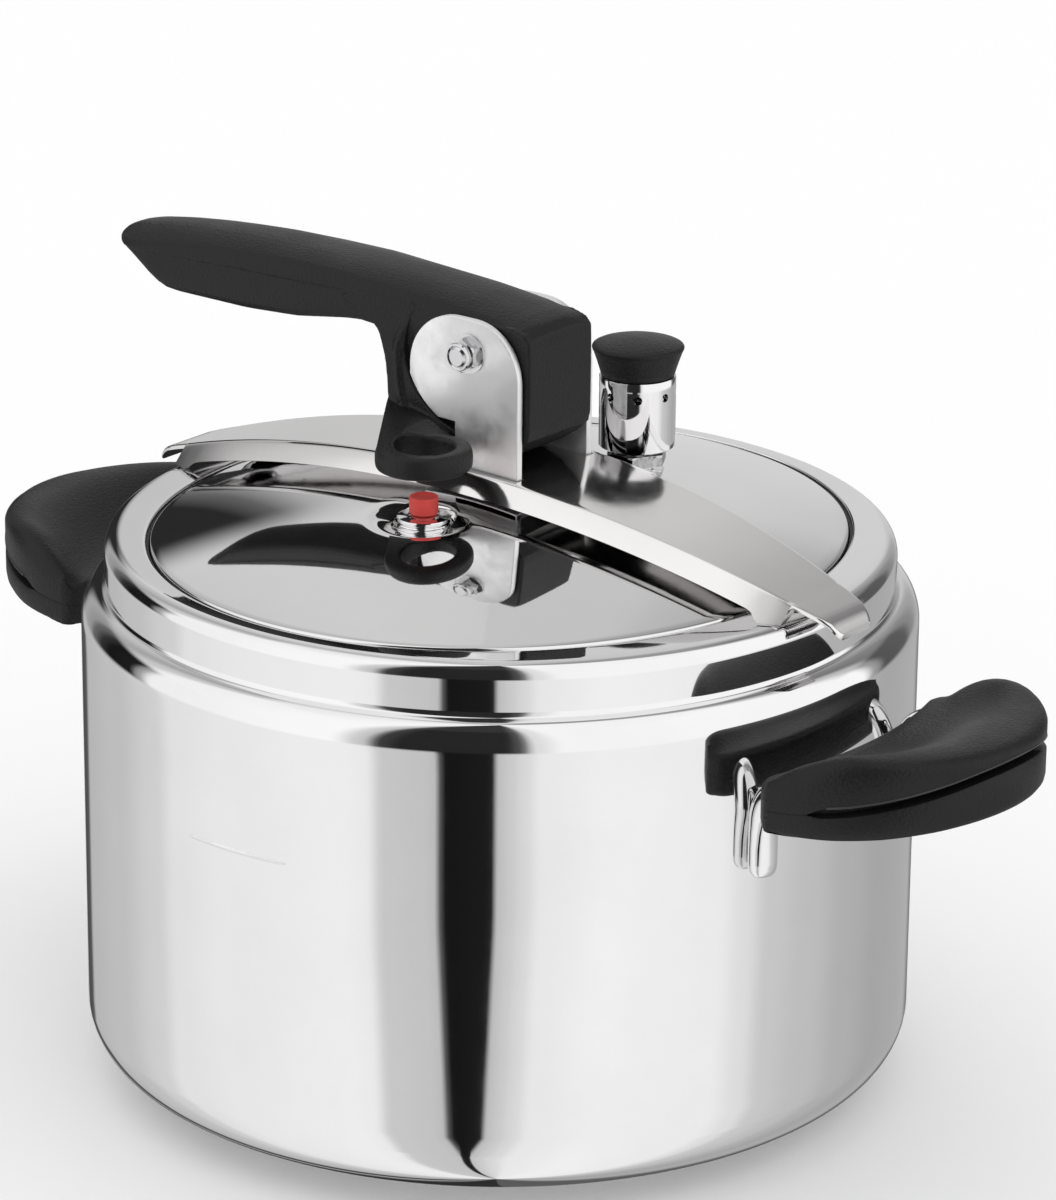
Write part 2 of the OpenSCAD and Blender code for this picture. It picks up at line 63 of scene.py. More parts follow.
# pot: outer radius, sheet, bottom corner, top of the upright wall, and the shoulder's width and height
POT_R = 109.15
SHEET = 1.2
FLOOR_Z = high("base_cap")[2]
BASE_R = 88.0
CORNER_R = 13.0
WALL_TOP = 125.5
SHOULDER_R = 6.9
SHOULDER_H = 8.2
# upper tier, its rounded rim, and half of the oval mouth along X and Y
TIER_R = 103.0
RIM_ROUND = 4.2
RIM_MID_Z = 142.8
MOUTH = (89.2, 95.8)
MOUTH_Z = 147.1
# lid: half of its dome along X and Y, its middle, and how much lower its edge is
LID_EDGE = (88.2, 94.4)
LID_TOP = high("lid")[2]
LID_RISE = 12.9
# lever's hinge, and the axes of the red pin and of the operating valve
PIVOT = Vector((1.6, 0.0, 198.4))
PIN = Vector((0.0, -31.5, 0.0))
VALVE = Vector((12.0, 42.0, 0.0))
# height of the valve's vents, the pin's recess in the lid, and the lower end of the pin's red cap
VENT_Z = 177.0
PIN_RECESS_R = 8.0
PIN_RECESS_Z = low("pin_seat")[2] + 5.7
RED_LOW = high("pin_cap")[2] - 4.5
# stirrup's ears: inner and outer face across Y, both sides along X, round left side about the hinge
EAR_IN = 13.3
EAR_OUT = 15.5
EAR_X = (-3.0, 17.5)
EAR_ROUND_R = 21.6
# spring bar: middle of its top, radius of its arch and of its curved sides, half width, start of the
# bent tip and of the tip's rounding, sheet, and the height of its feet on the rim
BAR_TOP = 167.8
BAR_ARCH = 322.0
BAR_PLAN = 670.0
BAR_HALF = 18.0
BAR_END = 100.4
TIP_ROUND = 112.4
BAR_SHEET = 2.0
FOOT_Z = 147.3
# inner and outer side of the bar's slots, as parts of its half width
SLOT_IN = 12.9 / 17.9
SLOT_OUT = 15.95 / 17.9
# lever: half thickness of the block between the ears, back of the leg, the leg's clearance round the
# ear, and the hole of the ring over the pin
BLOCK_SIDE = 12.9
LEG_BACK = -11.5
WEB_R = 22.0
RING_HOLE_R = 7.75
# grips: distance of the inner face and of the outer end from the pot's axis, radius of the outer arc
# and of the corners, and half the gap between the two halves
GRIP_IN = 117.0
GRIP_OUT = 162.1
GRIP_R = 42.2
GRIP_CORNER = 7.0
JOINT_GAP = 0.03
# points round the pot's and the lid's rings
SEG = 288

# ---- mesh helpers


def arc(cx, cz, r, a0, a1, n):
    """Points of a circular arc in a 2-D outline, angles in degrees."""
    out = []
    for i in range(n + 1):
        a = radians(a0 + (a1 - a0) * i / n)
        out.append((cx + r * cos(a), cz + r * sin(a)))
    return out


def spline(points, n):
    """Catmull-Rom curve through points, n steps between neighbours."""

    def between(a, b, c, d, t):
        square = 2 * a - 5 * b + 4 * c - d
        cube = 3 * b - a - 3 * c + d
        return 0.5 * (2 * b + (c - a) * t + square * t * t + cube * t**3)

    out = []
    last = len(points) - 1
    for i in range(last):
        quad = [points[max(i - 1, 0)], points[i], points[i + 1], points[min(i + 2, last)]]
        for k in range(n):
            out.append(tuple(between(*values, k / n) for values in zip(*quad)))
    out.append(tuple(points[-1]))
    return out


def lerp(a, b, t):
    """Value between a and b at t from 0 to 1."""
    return a + (b - a) * t


def smooth_step(t):
    """Eased 0 to 1, held outside that range."""
    t = min(max(t, 0.0), 1.0)
    return t * t * (3 - 2 * t)


def table_value(table, x):
    """Piecewise linear value at x from (x, value) pairs in rising x."""
    if x <= table[0][0]:
        return table[0][1]
    for (x0, v0), (x1, v1) in zip(table, table[1:]):
        if x <= x1:
            return lerp(v0, v1, (x - x0) / (x1 - x0))
    return table[-1][1]


def make(name, verts, faces, smooth=True, sharp=None):
    """A mesh object from millimetre vertices."""
    mesh = bpy.data.meshes.new(name)
    mesh.from_pydata([(x * MM, y * MM, z * MM) for x, y, z in verts], [], faces)
    mesh.update()
    bm = bmesh.new()
    bm.from_mesh(mesh)
    bmesh.ops.remove_doubles(bm, verts=bm.verts, dist=1e-7)
    bmesh.ops.recalc_face_normals(bm, faces=bm.faces)
    bm.to_mesh(mesh)
    bm.free()
    for p in mesh.polygons:
        p.use_smooth = smooth
    if sharp is not None:
        mesh.set_sharp_from_angle(angle=radians(sharp))
    obj = bpy.data.objects.new(name, mesh)
    scene.collection.objects.link(obj)
    return obj


def rings(name, loops, closed=False, sharp=35):
    """Joins equal-length rings of points with quads; closed joins last to first, else the ends are capped."""
    n = len(loops[0])
    verts = [p for loop in loops for p in loop]
    faces = []
    for i in range(len(loops) if closed else len(loops) - 1):
        j = (i + 1) % len(loops)
        for k in range(n):
            m = (k + 1) % n
            faces.append((i * n + k, i * n + m, j * n + m, j * n + k))
    if not closed:
        faces.append(tuple(range(n)))
        faces.append(tuple((len(loops) - 1) * n + k for k in range(n)))
    return make(name, verts, faces, sharp=sharp)


def lathe(name, profile, at=(0, 0, 0), seg=96, axis="Z", closed=False, sharp=35):
    """Revolves an (r, height) profile. Points on the axis become the ends."""
    loops = []
    for r, h in profile:
        loop = []
        for k in range(seg):
            a = 2 * pi * k / seg
            c, s = max(r, 1e-4) * cos(a), max(r, 1e-4) * sin(a)
            p = (c, s, h) if axis == "Z" else (c, h, s)
            loop.append((at[0] + p[0], at[1] + p[1], at[2] + p[2]))
        loops.append(loop)
    return rings(name, loops, closed, sharp)


def prism(name, outline, lo, hi, axis="Z", bevel=0.0):
    """Extrudes a closed outline, (x, y) for axis Z or (x, z) for axis Y, its edges rounded by bevel."""
    place = (lambda p, h: (p[0], p[1], h)) if axis == "Z" else (lambda p, h: (p[0], h, p[1]))
    n = len(outline)
    verts = [place(p, lo) for p in outline] + [place(p, hi) for p in outline]
    faces = [tuple(range(n)), tuple(range(n, 2 * n))]
    faces += [(k, (k + 1) % n, n + (k + 1) % n, n + k) for k in range(n)]
    obj = make(name, verts, faces, sharp=30)
    if bevel:
        mod = obj.modifiers.new("edge", "BEVEL")
        mod.width = bevel * MM
        mod.segments = 2
        mod.limit_method = "ANGLE"
        mod.angle_limit = radians(40)
        mod.harden_normals = True
    return obj


def shade(obj, sharp):
    """Smooth shading with edges kept above the sharp angle in degrees."""
    for p in obj.data.polygons:
        p.use_smooth = True
    obj.data.set_sharp_from_angle(angle=radians(sharp))


def tube(name, path, radius, seg=24):
    """A round wire along path; radius is a number or a function of the point's index."""
    pts = [Vector(p) for p in path]
    loops = []
    side = None
    for i, p in enumerate(pts):
        t = (pts[min(i + 1, len(pts) - 1)] - pts[max(i - 1, 0)]).normalized()
        if side is None:
            side = t.cross(Vector((1, 0, 0)))
            if side.length < 0.1:
                side = t.cross(Vector((0, 1, 0)))
        side = (side - t * side.dot(t)).normalized()
        up = t.cross(side)
        r = radius(i) if callable(radius) else radius
        loop = []
        for k in range(seg):
            a = 2 * pi * k / seg
            loop.append(tuple(p + side * (r * cos(a)) + up * (r * sin(a))))
        loops.append(loop)
    return rings(name, loops, sharp=50)


def hull(points):
    """The convex hull of points in millimetres."""
    bm = bmesh.new()
    for p in points:
        bm.verts.new([c * MM for c in p])
    bmesh.ops.convex_hull(bm, input=bm.verts)
    mesh = bpy.data.meshes.new("hull")
    bm.to_mesh(mesh)
    bm.free()
    obj = bpy.data.objects.new("hull", mesh)
    scene.collection.objects.link(obj)
    return obj


def join(name, objs):
    """One object from several, modifiers applied."""
    for o in objs:
        o.update_tag()
    bpy.context.view_layer.update()
    deps = bpy.context.evaluated_depsgraph_get()
    bm = bmesh.new()
    for o in objs:
        mesh = bpy.data.meshes.new_from_object(o.evaluated_get(deps))
        bm.from_mesh(mesh)
        bpy.data.meshes.remove(mesh)
    out = bpy.data.meshes.new(name)
    bm.to_mesh(out)
    bm.free()
    obj = bpy.data.objects.new(name, out)
    scene.collection.objects.link(obj)
    for o in objs:
        bpy.data.objects.remove(o)
    return obj


def cut(obj, cutter):
    """Takes the cutter out of obj and removes the cutter."""
    mod = obj.modifiers.new("cut", "BOOLEAN")
    mod.operation = "DIFFERENCE"
    mod.solver = "EXACT"
    mod.object = cutter
    deps = bpy.context.evaluated_depsgraph_get()
    mesh = bpy.data.meshes.new_from_object(obj.evaluated_get(deps))
    obj.modifiers.clear()
    obj.data = mesh
    bpy.data.objects.remove(cutter)
    return obj


# ---- materials


def add_node(tree, kind, **inputs):
    """A new shader node; each input is linked if a socket is given and set otherwise."""
    node = tree.nodes.new("ShaderNode" + kind)
    set_inputs(tree, node, **inputs)
    return node


def set_inputs(tree, node, **inputs):
    """Links or sets a node's inputs by name, with _ for spaces."""
    for key, value in inputs.items():
        socket = node.inputs[key.replace("_", " ")]
        if isinstance(value, bpy.types.NodeSocket):
            tree.links.new(value, socket)
        else:
            socket.default_value = value


def new_material(name, **inputs):
    """A node material with the given shader inputs set."""
    mat = bpy.data.materials.new(name)
    mat.use_nodes = True
    shader = mat.node_tree.nodes["Principled BSDF"]
    set_inputs(mat.node_tree, shader, **inputs)
    return mat, mat.node_tree, shader


def noise(tree, scale, detail, rough, stretch=None):
    """Noise in object space; scale counts features per metre."""
    at = add_node(tree, "TexCoord").outputs["Object"]
    if stretch:
        at = add_node(tree, "Mapping", Scale=stretch, Vector=at).outputs["Vector"]
    return add_node(tree, "TexNoise", Scale=scale, Detail=detail, Roughness=rough, Vector=at).outputs["Fac"]


def to_range(tree, value, lo, hi):
    """Maps the noise's middle values to lo..hi, held at the ends."""
    ends = {"From_Min": 0.3, "From_Max": 0.7, "To_Min": lo, "To_Max": hi}
    return add_node(tree, "MapRange", Value=value, **ends).outputs["Result"]


def mix_colour(tree, factor, a, b):
    """Colour a at factor 0 and colour b at factor 1."""
    node = tree.nodes.new("ShaderNodeMix")
    node.data_type = "RGBA"
    set_inputs(tree, node, Factor=factor, A=a, B=b)
    return node.outputs["Result"]


def bump(tree, shader, height, strength, distance, below=None):
    """Adds a bump from height to the shader, on top of an earlier bump if given; distance in metres."""
    node = add_node(tree, "Bump", Strength=strength, Distance=distance, Height=height)
    if below:
        tree.links.new(below, node.inputs["Normal"])
    tree.links.new(node.outputs["Normal"], shader.inputs["Normal"])
    return node.outputs["Normal"]


def steel(name, colour, rough, waviness, hairline=0.0):
    """Polished steel with faint smears and, if asked, fine drawn lines along X."""
    mat, tree, shader = new_material(name, Metallic=1.0)
    smear = to_range(tree, noise(tree, 38, 5, 0.6), 0, 1)
    darker = tuple(c * 0.965 for c in colour)
    tint = mix_colour(tree, smear, (*darker, 1), (*colour, 1))
    patches = to_range(tree, noise(tree, 90, 6, 0.7), rough * 0.7, rough * 1.4)
    set_inputs(tree, shader, Base_Color=tint, Roughness=patches)
    below = bump(tree, shader, noise(tree, 26, 1, 0.4), waviness, 0.0004) if waviness else None
    if hairline:
        bump(tree, shader, noise(tree, 900, 3, 0.5, (0.02, 1, 1)), hairline, 0.00006, below)
    return mat


def plastic(name, colour, rough, grain, size=2600):
    """Moulded plastic with slightly rubbed patches and an even grain; size counts its grains per metre."""
    mat, tree, shader = new_material(name, Metallic=0.0, Specular_IOR_Level=0.27)
    rubbed = noise(tree, 55, 4, 0.6)
    lighter = tuple(min(1.0, c * 1.35 + 0.002) for c in colour)
    tint = mix_colour(tree, to_range(tree, rubbed, 0, 1), (*colour, 1), (*lighter, 1))
    patches = to_range(tree, rubbed, rough * 0.9, rough * 1.15)
    set_inputs(tree, shader, Base_Color=tint, Roughness=patches)
    bump(tree, shader, noise(tree, size, 2, 0.5), grain, 0.00022)
    return mat


POLISHED = steel("polished_steel", (0.86, 0.855, 0.86), 0.035, 0.035)
LID_STEEL = steel("lid_steel", (0.84, 0.83, 0.83), 0.03, 0.02)
BAR_STEEL = steel("bar_steel", (0.86, 0.845, 0.84), 0.11, 0.015, 0.04)
TURNED = steel("turned_steel", (0.70, 0.70, 0.71), 0.14, 0.0, 0.25)
PLATE_STEEL = steel("plate_steel", (0.92, 0.92, 0.92), 0.5, 0.0, 0.12)
BLACK = plastic("black_plastic", (0.006, 0.006, 0.0063), 0.42, 1.0, 1300)
# glossy plastic for the grips' lip strip, coloured lighter than the black plastic as a painted highlight
LIP_HIGHLIGHT = plastic("lip_painted_highlight", (0.03, 0.03, 0.03), 0.12, 0.03)
RED = plastic("red_plastic", (0.58, 0.060, 0.052), 0.42, 0.12, 1800)
RUBBER = plastic("grey_rubber", (0.045, 0.045, 0.045), 0.7, 0.2)
ALUMINIUM = steel("base_aluminium", (0.80, 0.80, 0.82), 0.35, 0.0, 0.3)
BUSH = steel("bearing_metal", (0.62, 0.60, 0.56), 0.3, 0.0, 0.3)


def finish_piece(obj, body, material, slot, *replaced):
    """Gives a piece its material and its body, and hides the CAD nodes it stands for; slot is not used."""
    obj.data.materials.clear()
    obj.data.materials.append(material)
    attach(obj, body)
    if replaced:
        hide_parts(*replaced)
    return obj


# ---- pot


def oval_loop(blend, r, z, grow=0.0):
    """A ring that is a circle of radius r at blend 0 and the mouth's oval at blend 1."""
    a = lerp(r, MOUTH[0] + grow, blend)
    b = lerp(r, MOUTH[1] + grow, blend)
    return [(a * cos(t), b * sin(t), z) for t in (2 * pi * k / SEG for k in range(SEG))]


def build_pot():
    """The pot's sheet: the outside from the floor up to the mouth, then the inside back down."""
    corner = arc(POT_R - CORNER_R, FLOOR_Z + CORNER_R, CORNER_R, -90, 0, 14)
    shoulder = [(r, WALL_TOP + (z - WALL_TOP) * SHOULDER_H / SHOULDER_R)
                for r, z in arc(POT_R - SHOULDER_R, WALL_TOP, SHOULDER_R, 0, 80, 14)]
    fillet = [(TIER_R + 0.25, 133.9), (TIER_R + 0.05, 134.3), (TIER_R, 135.0)]
    rim = arc(TIER_R - RIM_ROUND, RIM_MID_Z, RIM_ROUND, 0, 78, 10)
    wall = [(POT_R, z) for z in (24, 50, 75, 100, 120)]
    outer = [(0.0, FLOOR_Z), (60, FLOOR_Z), (BASE_R, FLOOR_Z)] + corner + wall + shoulder + fillet + rim
    loops = [oval_loop(0, max(r, 0.01), z) for r, z in outer]
    # the flat of the rim goes over from the round edge to the oval mouth
    top_r, top_z = rim[-1]
    for k in (0.2, 0.4, 0.6, 0.8, 0.93):
        loops.append(oval_loop(k, top_r, lerp(top_z, MOUTH_Z, k**0.8)))
    loops.append(oval_loop(1, top_r, MOUTH_Z - 0.05))
    loops.append(oval_loop(1, top_r, MOUTH_Z - 0.6, grow=-0.15))
    loops.append(oval_loop(1, top_r, MOUTH_Z - SHEET, grow=0.1))
    for k in (0.6, 0.2):
        loops.append(oval_loop(k, top_r, lerp(top_z, MOUTH_Z, k**0.8) - SHEET))
    # the inside, one sheet further in
    inside = POT_R - SHEET
    inner = [(r - SHEET * cos(radians(a)), z - SHEET * sin(radians(a)))
             for (r, z), a in zip(rim[::-2], (78, 62, 47, 31, 16, 0))]
    inner += [(TIER_R - SHEET, 134.6), (102.6, 132.4), (105.8, 130.6), (107.5, 127.8), (inside, 124.0)]
    inner += [(inside, 60.0), (inside, 24.0)]
    inner += arc(POT_R - CORNER_R, FLOOR_Z + CORNER_R, CORNER_R - SHEET, 0, -90, 8)
    inner += [(60, FLOOR_Z + SHEET), (0.01, FLOOR_Z + SHEET)]
    loops += [oval_loop(0, r, z) for r, z in inner]
    pot = rings("pot_shell", loops, sharp=None)
    return finish_piece(pot, "pot", POLISHED, "polished_steel", "pot_body")


def build_wall_mark():
    """The plain raised line pressed in the wall."""
    mid_z, half_height = 91.8, 0.55
    first, last = -96.4, -80.1
    section = ((0, -1), (0.14, -0.55), (0.2, 0), (0.14, 0.55), (0, 1), (-0.3, 0))
    steps = 32
    loops = []
    for i in range(steps + 1):
        phi = radians(lerp(first, last, i / steps))
        # the line's ends are rounded off
        h = half_height * min(1.0, sqrt(max(0.0, 1 - (abs(i - 16) / 16.2) ** 8)))
        loop = []
        for out, up in section:
            r = POT_R + out
            loop.append((r * cos(phi), r * sin(phi), mid_z + up * h))
        loops.append(loop)
    mark = rings("wall_line", loops, sharp=60)
    return finish_piece(mark, "pot", PLATE_STEEL, "polished_steel")


def build_base():
    """The steel cap under the floor, with a rounded lower edge and a small flare at the top."""
    top = FLOOR_Z + 0.1
    profile = [(0, 0.35), (70, 0.35), (82, 0.05), (84, 0)] + arc(BASE_R - 2.2, 2.2, 2.2, -90, 0, 8)
    profile += [(BASE_R, FLOOR_Z - 1.0), (BASE_R + 0.7, FLOOR_Z - 0.2), (BASE_R + 0.7, top)]
    profile += [(BASE_R - 3, top), (0, top)]
    base = lathe("base_cap_shell", profile, seg=192, sharp=40)
    return finish_piece(base, "pot", TURNED, "polished_steel", "base_cap")


# ---- lid and pressure pin


def lid_height(x, y):
    """Height of the lid's dome, pressed down into a soft dimple on the outer side of the red pin."""
    z = LID_TOP - LID_RISE * ((x / LID_EDGE[0]) ** 2 + (y / LID_EDGE[1]) ** 2)
    dx, dy = x - PIN.x, y - PIN.y
    r = hypot(dx, dy)
    near = 1 - smooth_step((r - PIN_RECESS_R) / 7.5)
    outer = smooth_step(0.55 - 0.75 * dy / max(r, 0.01))
    return lerp(z, min(z, PIN_RECESS_Z + 0.15), near * outer)


def build_lid():
    """The lid as rings that grow from the pin's recess to the edge, then the flange and the underside."""
    angles = [2 * pi * k / SEG for k in range(SEG)]

    def hole_ring(r, z=None, drop=0.0):
        out = []
        for t in angles:
            x, y = PIN.x + r * cos(t), PIN.y + r * sin(t)
            out.append((x, y, lid_height(x, y) - drop if z is None else z))
        return out

    def oval(grow, z):
        a, b = LID_EDGE[0] + grow, LID_EDGE[1] + grow
        return [(a * cos(t), b * sin(t), z) for t in angles]

    loops = [hole_ring(0.01, PIN_RECESS_Z), hole_ring(PIN_RECESS_R - 0.6, PIN_RECESS_Z)]
    loops.append(hole_ring(PIN_RECESS_R - 0.15, PIN_RECESS_Z + 0.3))
    for grow, drop in ((0, 0.5), (0.15, 0.15), (0.6, 0)):
        loops.append(hole_ring(PIN_RECESS_R + grow, drop=drop))
    steps = 40
    for i in range(1, steps + 1):
        k = i / steps * 0.988
        ring = []
        for t in angles:
            x = lerp(PIN.x, 0, k) + lerp(PIN_RECESS_R + 0.6, LID_EDGE[0], k) * cos(t)
            y = lerp(PIN.y, 0, k) + lerp(PIN_RECESS_R + 0.6, LID_EDGE[1], k) * sin(t)
            ring.append((x, y, lid_height(x, y)))
        loops.append(ring)
    edge_z = LID_TOP - LID_RISE
    flange_top = high("lid_gasket")[2] - 4.0
    loops += [oval(-0.35, edge_z - 0.02), oval(-0.08, edge_z - 0.3), oval(0, edge_z - 0.9)]
    loops += [oval(0, flange_top), oval(5.4, flange_top)]
    loops += [oval(5.4, flange_top - 2), oval(-2, flange_top - 2), oval(-2, edge_z - 2.4)]
    for k in (0.8, 0.5, 0.25, 0.01):
        z = LID_TOP - 2.2 - LID_RISE * k * k
        loops.append([(LID_EDGE[0] * k * cos(t), LID_EDGE[1] * k * sin(t), z) for t in angles])
    lid = rings("lid_shell", loops, sharp=None)
    lid.data.set_sharp_from_angle(angle=radians(60))
    return finish_piece(lid, "lid", LID_STEEL, "polished_steel", "lid")


def build_pin():
    """The pressure pin: grooved collar and barrel on the lid, and the stem with its red cap."""
    z = PIN_RECESS_Z
    collar = [(0, -0.4), (7.0, -0.4), (7.0, 0.75), (6.85, 0.95), (6.45, 1.0), (6.45, 1.3), (6.85, 1.35)]
    collar += [(7.0, 1.5), (7.0, 2.15), (6.8, 2.35), (6.3, 2.45), (4.6, 2.35), (4.2, 2.55), (3.7, 2.85)]
    collar += [(2.6, 2.9), (0, 2.9)]
    seat = lathe("pin_collar", [(r, z + h) for r, h in collar], PIN, 96, sharp=30)
    finish_piece(seat, "lid", POLISHED, "machined_steel")

    bore, outside, barrel_low = 2.15, 5, low("pin_seat")[2]
    tube_wall = [(bore, barrel_low), (outside, barrel_low), (outside, z + 0.1), (bore, z + 0.1)]
    barrel = lathe("pin_seat_barrel", tube_wall, PIN, 48, closed=True)
    finish_piece(barrel, "lid", TURNED, "machined_steel", "pin_seat")

    foot, neck_top = low("pin_stem")[2], RED_LOW + 0.4
    stem = [(0, foot), (4.4, foot), (4.4, foot + 1.8), (2, foot + 1.8), (2, neck_top), (0, neck_top)]
    neck = lathe("pin_neck", stem, PIN, 64)
    finish_piece(neck, "pin", POLISHED, "polished_steel", "pin_stem")

    cap_top, cap_r, edge = high("pin_cap")[2], 3.75, 0.45
    profile = [(0, RED_LOW), (3.5, RED_LOW), (3.72, RED_LOW + 0.2)]
    profile += arc(cap_r - edge, cap_top - edge, edge, 0, 90, 5)
    profile += [(2.4, cap_top - 0.02), (2.2, cap_top - 0.12), (0, cap_top - 0.12)]
    cap = lathe("pin_cap_red", profile, PIN, 72, sharp=50)
    finish_piece(cap, "pin", RED, "red_plastic", "pin_cap")


# ---- spring bar


def bar_top(x):
    """Height and half width of the bar's flat top at x."""
    ax = abs(x)
    if ax <= BAR_END:
        z = BAR_TOP - BAR_ARCH + sqrt(BAR_ARCH**2 - ax**2)
        half = BAR_HALF - BAR_PLAN + sqrt(BAR_PLAN**2 - ax**2)
    else:
        end_z = BAR_TOP - BAR_ARCH + sqrt(BAR_ARCH**2 - BAR_END**2)
        drop = [(BAR_END, 0), (105, 1.45), (108.6, 2.75), (110.4, 3.9), (112.8, 6.4)]
        z = end_z - table_value(drop, ax)
        half = table_value([(BAR_END, 10.4), (108.6, 8.7), (112.8, 6.9)], ax)
    return z, half


def bar_section(x):
    """Right half of the bar's section at x as (y, z): top outwards, turned-down edge, underside back."""
    ax = abs(x)
    z, half = bar_top(x)
    tip = ax > BAR_END
    if ax > TIP_ROUND:
        half -= 0.25 + (ax - TIP_ROUND) * 1.4
    right = [(half * f, z) for f in (0.0, 0.25, 0.5, SLOT_IN, SLOT_OUT)]
    right.append((half - 1.0, z))
    if tip:
        right += [(half - 0.35, z - 0.02), (half - 0.1, z - 0.15), (half, z - 0.45), (half, z - 0.8)]
        right += [(half, z - BAR_SHEET * 0.6)]
        right += [(half - 0.15, z - 1.3), (half - 0.4, z - 1.5), (half - 1.2, z - 1.5)]
    else:
        # how far the edge is turned down; near the ends it reaches to the rim, where the bar rests
        flange = table_value([(92, 4.7), (95, z - FOOT_Z), (BAR_END, z - FOOT_Z)], ax)
        mid_out, mid_down = flange * 0.5, flange * 0.52
        right += [(half - 0.45, z - 0.08), (half + 0.05, z - 0.35), (half + 0.5, z - 0.75)]
        right += [(half + mid_out, z - mid_down), (half + flange - 0.25, z - flange + 0.1)]
        right += [(half + flange - 0.75, z - flange - 0.1), (half + mid_out - 1.6, z - mid_down - 1.2)]
        right += [(half - 1.6, z - BAR_SHEET)]
    thick = 1.5 if tip else BAR_SHEET
    return right + [(half * f, z - thick) for f in (SLOT_OUT, SLOT_IN, 0.5, 0.25, 0.0)]


def build_bar():
    """The bar's bent sheet as sections along X, with two slots left open for the ears."""
    slot_x = (EAR_X[0] - 0.5, EAR_X[1] + 0.5)
    steps = 74
    xs = [BAR_END * i / steps for i in range(steps + 1)]
    stations = sorted(set([-x for x in xs] + xs) | set(slot_x))
    stations = [x for x in stations if x in slot_x or min(abs(x - s) for s in slot_x) > 0.6]
    tips = [BAR_END + 0.05, 102.5, 105, 107, 108.6, 109.6, 110.4, 111.6, 112.5, 112.85]
    stations = [-x for x in tips[::-1]] + stations + tips
    loops = []
    for x in stations:
        right = bar_section(x)
        left = [(-y, z) for y, z in right[1:-1]][::-1]
        loops.append([(x, y, z) for y, z in right + left])
    n = len(loops[0])
    verts = [p for loop in loops for p in loop]

    def mirror(column):
        return (n - column) % n

    # columns at the inner and outer side of the right slot, on the top and on the underside
    top_in, top_out = 3, 4
    low_in, low_out = len(right) - 4, len(right) - 5
    open_columns = {top_in, low_out, mirror(top_out), mirror(low_in)}
    first, last = stations.index(slot_x[0]), stations.index(slot_x[1])
    faces = []
    for i in range(len(loops) - 1):
        for k in range(n):
            if k in open_columns and first <= i < last:
                continue
            m = (k + 1) % n
            faces.append((i * n + k, i * n + m, (i + 1) * n + m, (i + 1) * n + k))
    faces.append(tuple(range(n)))
    faces.append(tuple((len(loops) - 1) * n + k for k in range(n)))
    # walls of the two slots
    right_slot = (top_in, top_out, low_in, low_out)
    for a_top, b_top, a_low, b_low in (right_slot, [mirror(column) for column in right_slot]):
        for i in range(first, last):
            j = i + 1
            faces.append((i * n + a_top, j * n + a_top, j * n + a_low, i * n + a_low))
            faces.append((i * n + b_top, j * n + b_top, j * n + b_low, i * n + b_low))
        for i in (first, last):
            faces.append((i * n + a_top, i * n + b_top, i * n + b_low, i * n + a_low))
    bar = make("spring_bar_sheet", verts, faces, sharp=38)
    return finish_piece(bar, "pot", BAR_STEEL, "polished_steel", "spring_bar")


# ---- stirrup and pivot


def ear_outline():
    """Side view of an ear: straight stem, rounded head, and a round left side about the pivot."""
    left, right = EAR_X
    low_z, head_z, head_r = 160.3, 192.2, 15.0
    pts = [(left, low_z), (right, low_z), (right, head_z)]
    pts += arc(right - head_r, head_z, head_r, 0, 90, 14)[1:]
    pts += arc(left, head_z, head_r, 90, 180, 14)
    for i in range(12):
        a = radians(lerp(205, 242, i / 11))
        pts.append((PIVOT.x + EAR_ROUND_R * cos(a), PIVOT.z + EAR_ROUND_R * sin(a)))
    return pts + [(left, 179.2)]


def build_stirrup():
    """The two ears and the foot plate between them."""
    kept = []
    for x, z in ear_outline():
        d = hypot(x - PIVOT.x, z - PIVOT.z)
        if x < PIVOT.x and 176 < z < PIVOT.z + 12 and d > EAR_ROUND_R:
            k = EAR_ROUND_R / d
            x, z = PIVOT.x + (x - PIVOT.x) * k, PIVOT.z + (z - PIVOT.z) * k
        kept.append((x, z))
    parts = []
    for side in (-1, 1):
        y0, y1 = sorted((side * EAR_IN, side * EAR_OUT))
        parts.append(prism(f"ear{side}", kept, y0, y1, "Y", bevel=0.28))
    x0, x1 = -13, EAR_X[1]
    plate = [(x0, -EAR_OUT), (x1, -EAR_OUT), (x1, EAR_OUT), (x0, EAR_OUT)]
    parts.append(prism("foot", plate, 160.12, 162.3, bevel=0.3))
    obj = join("stirrup_plates", parts)
    shade(obj, 30)
    return finish_piece(obj, "lid", PLATE_STEEL, "polished_steel", "stirrup")


def hex_radius(r, a, limit):
    """Distance to the side of a hexagon in direction a, with its corners turned off at r * limit."""
    flat = r * cos(pi / 6) / cos((a % (pi / 3)) - pi / 6)
    return min(flat, r * limit) if limit < 1 else flat


def hexagon(name, r, y0, y1, chamfer_at_low):
    """A hexagon nut across Y with its outer corners turned off."""
    loops = []
    for y, limit in ((y0, 0.9 if chamfer_at_low else 1.0), (y0 + 0.45, 1.0), (y1 - 0.05, 1.0), (y1, 0.98)):
        loop = []
        for i in range(72):
            a = 2 * pi * i / 72
            rr, turned = hex_radius(r, a, limit), a + pi / 2
            loop.append((PIVOT.x + rr * cos(turned), y, PIVOT.z + rr * sin(turned)))
        loops.append(loop)
    return rings(name, loops, sharp=25)


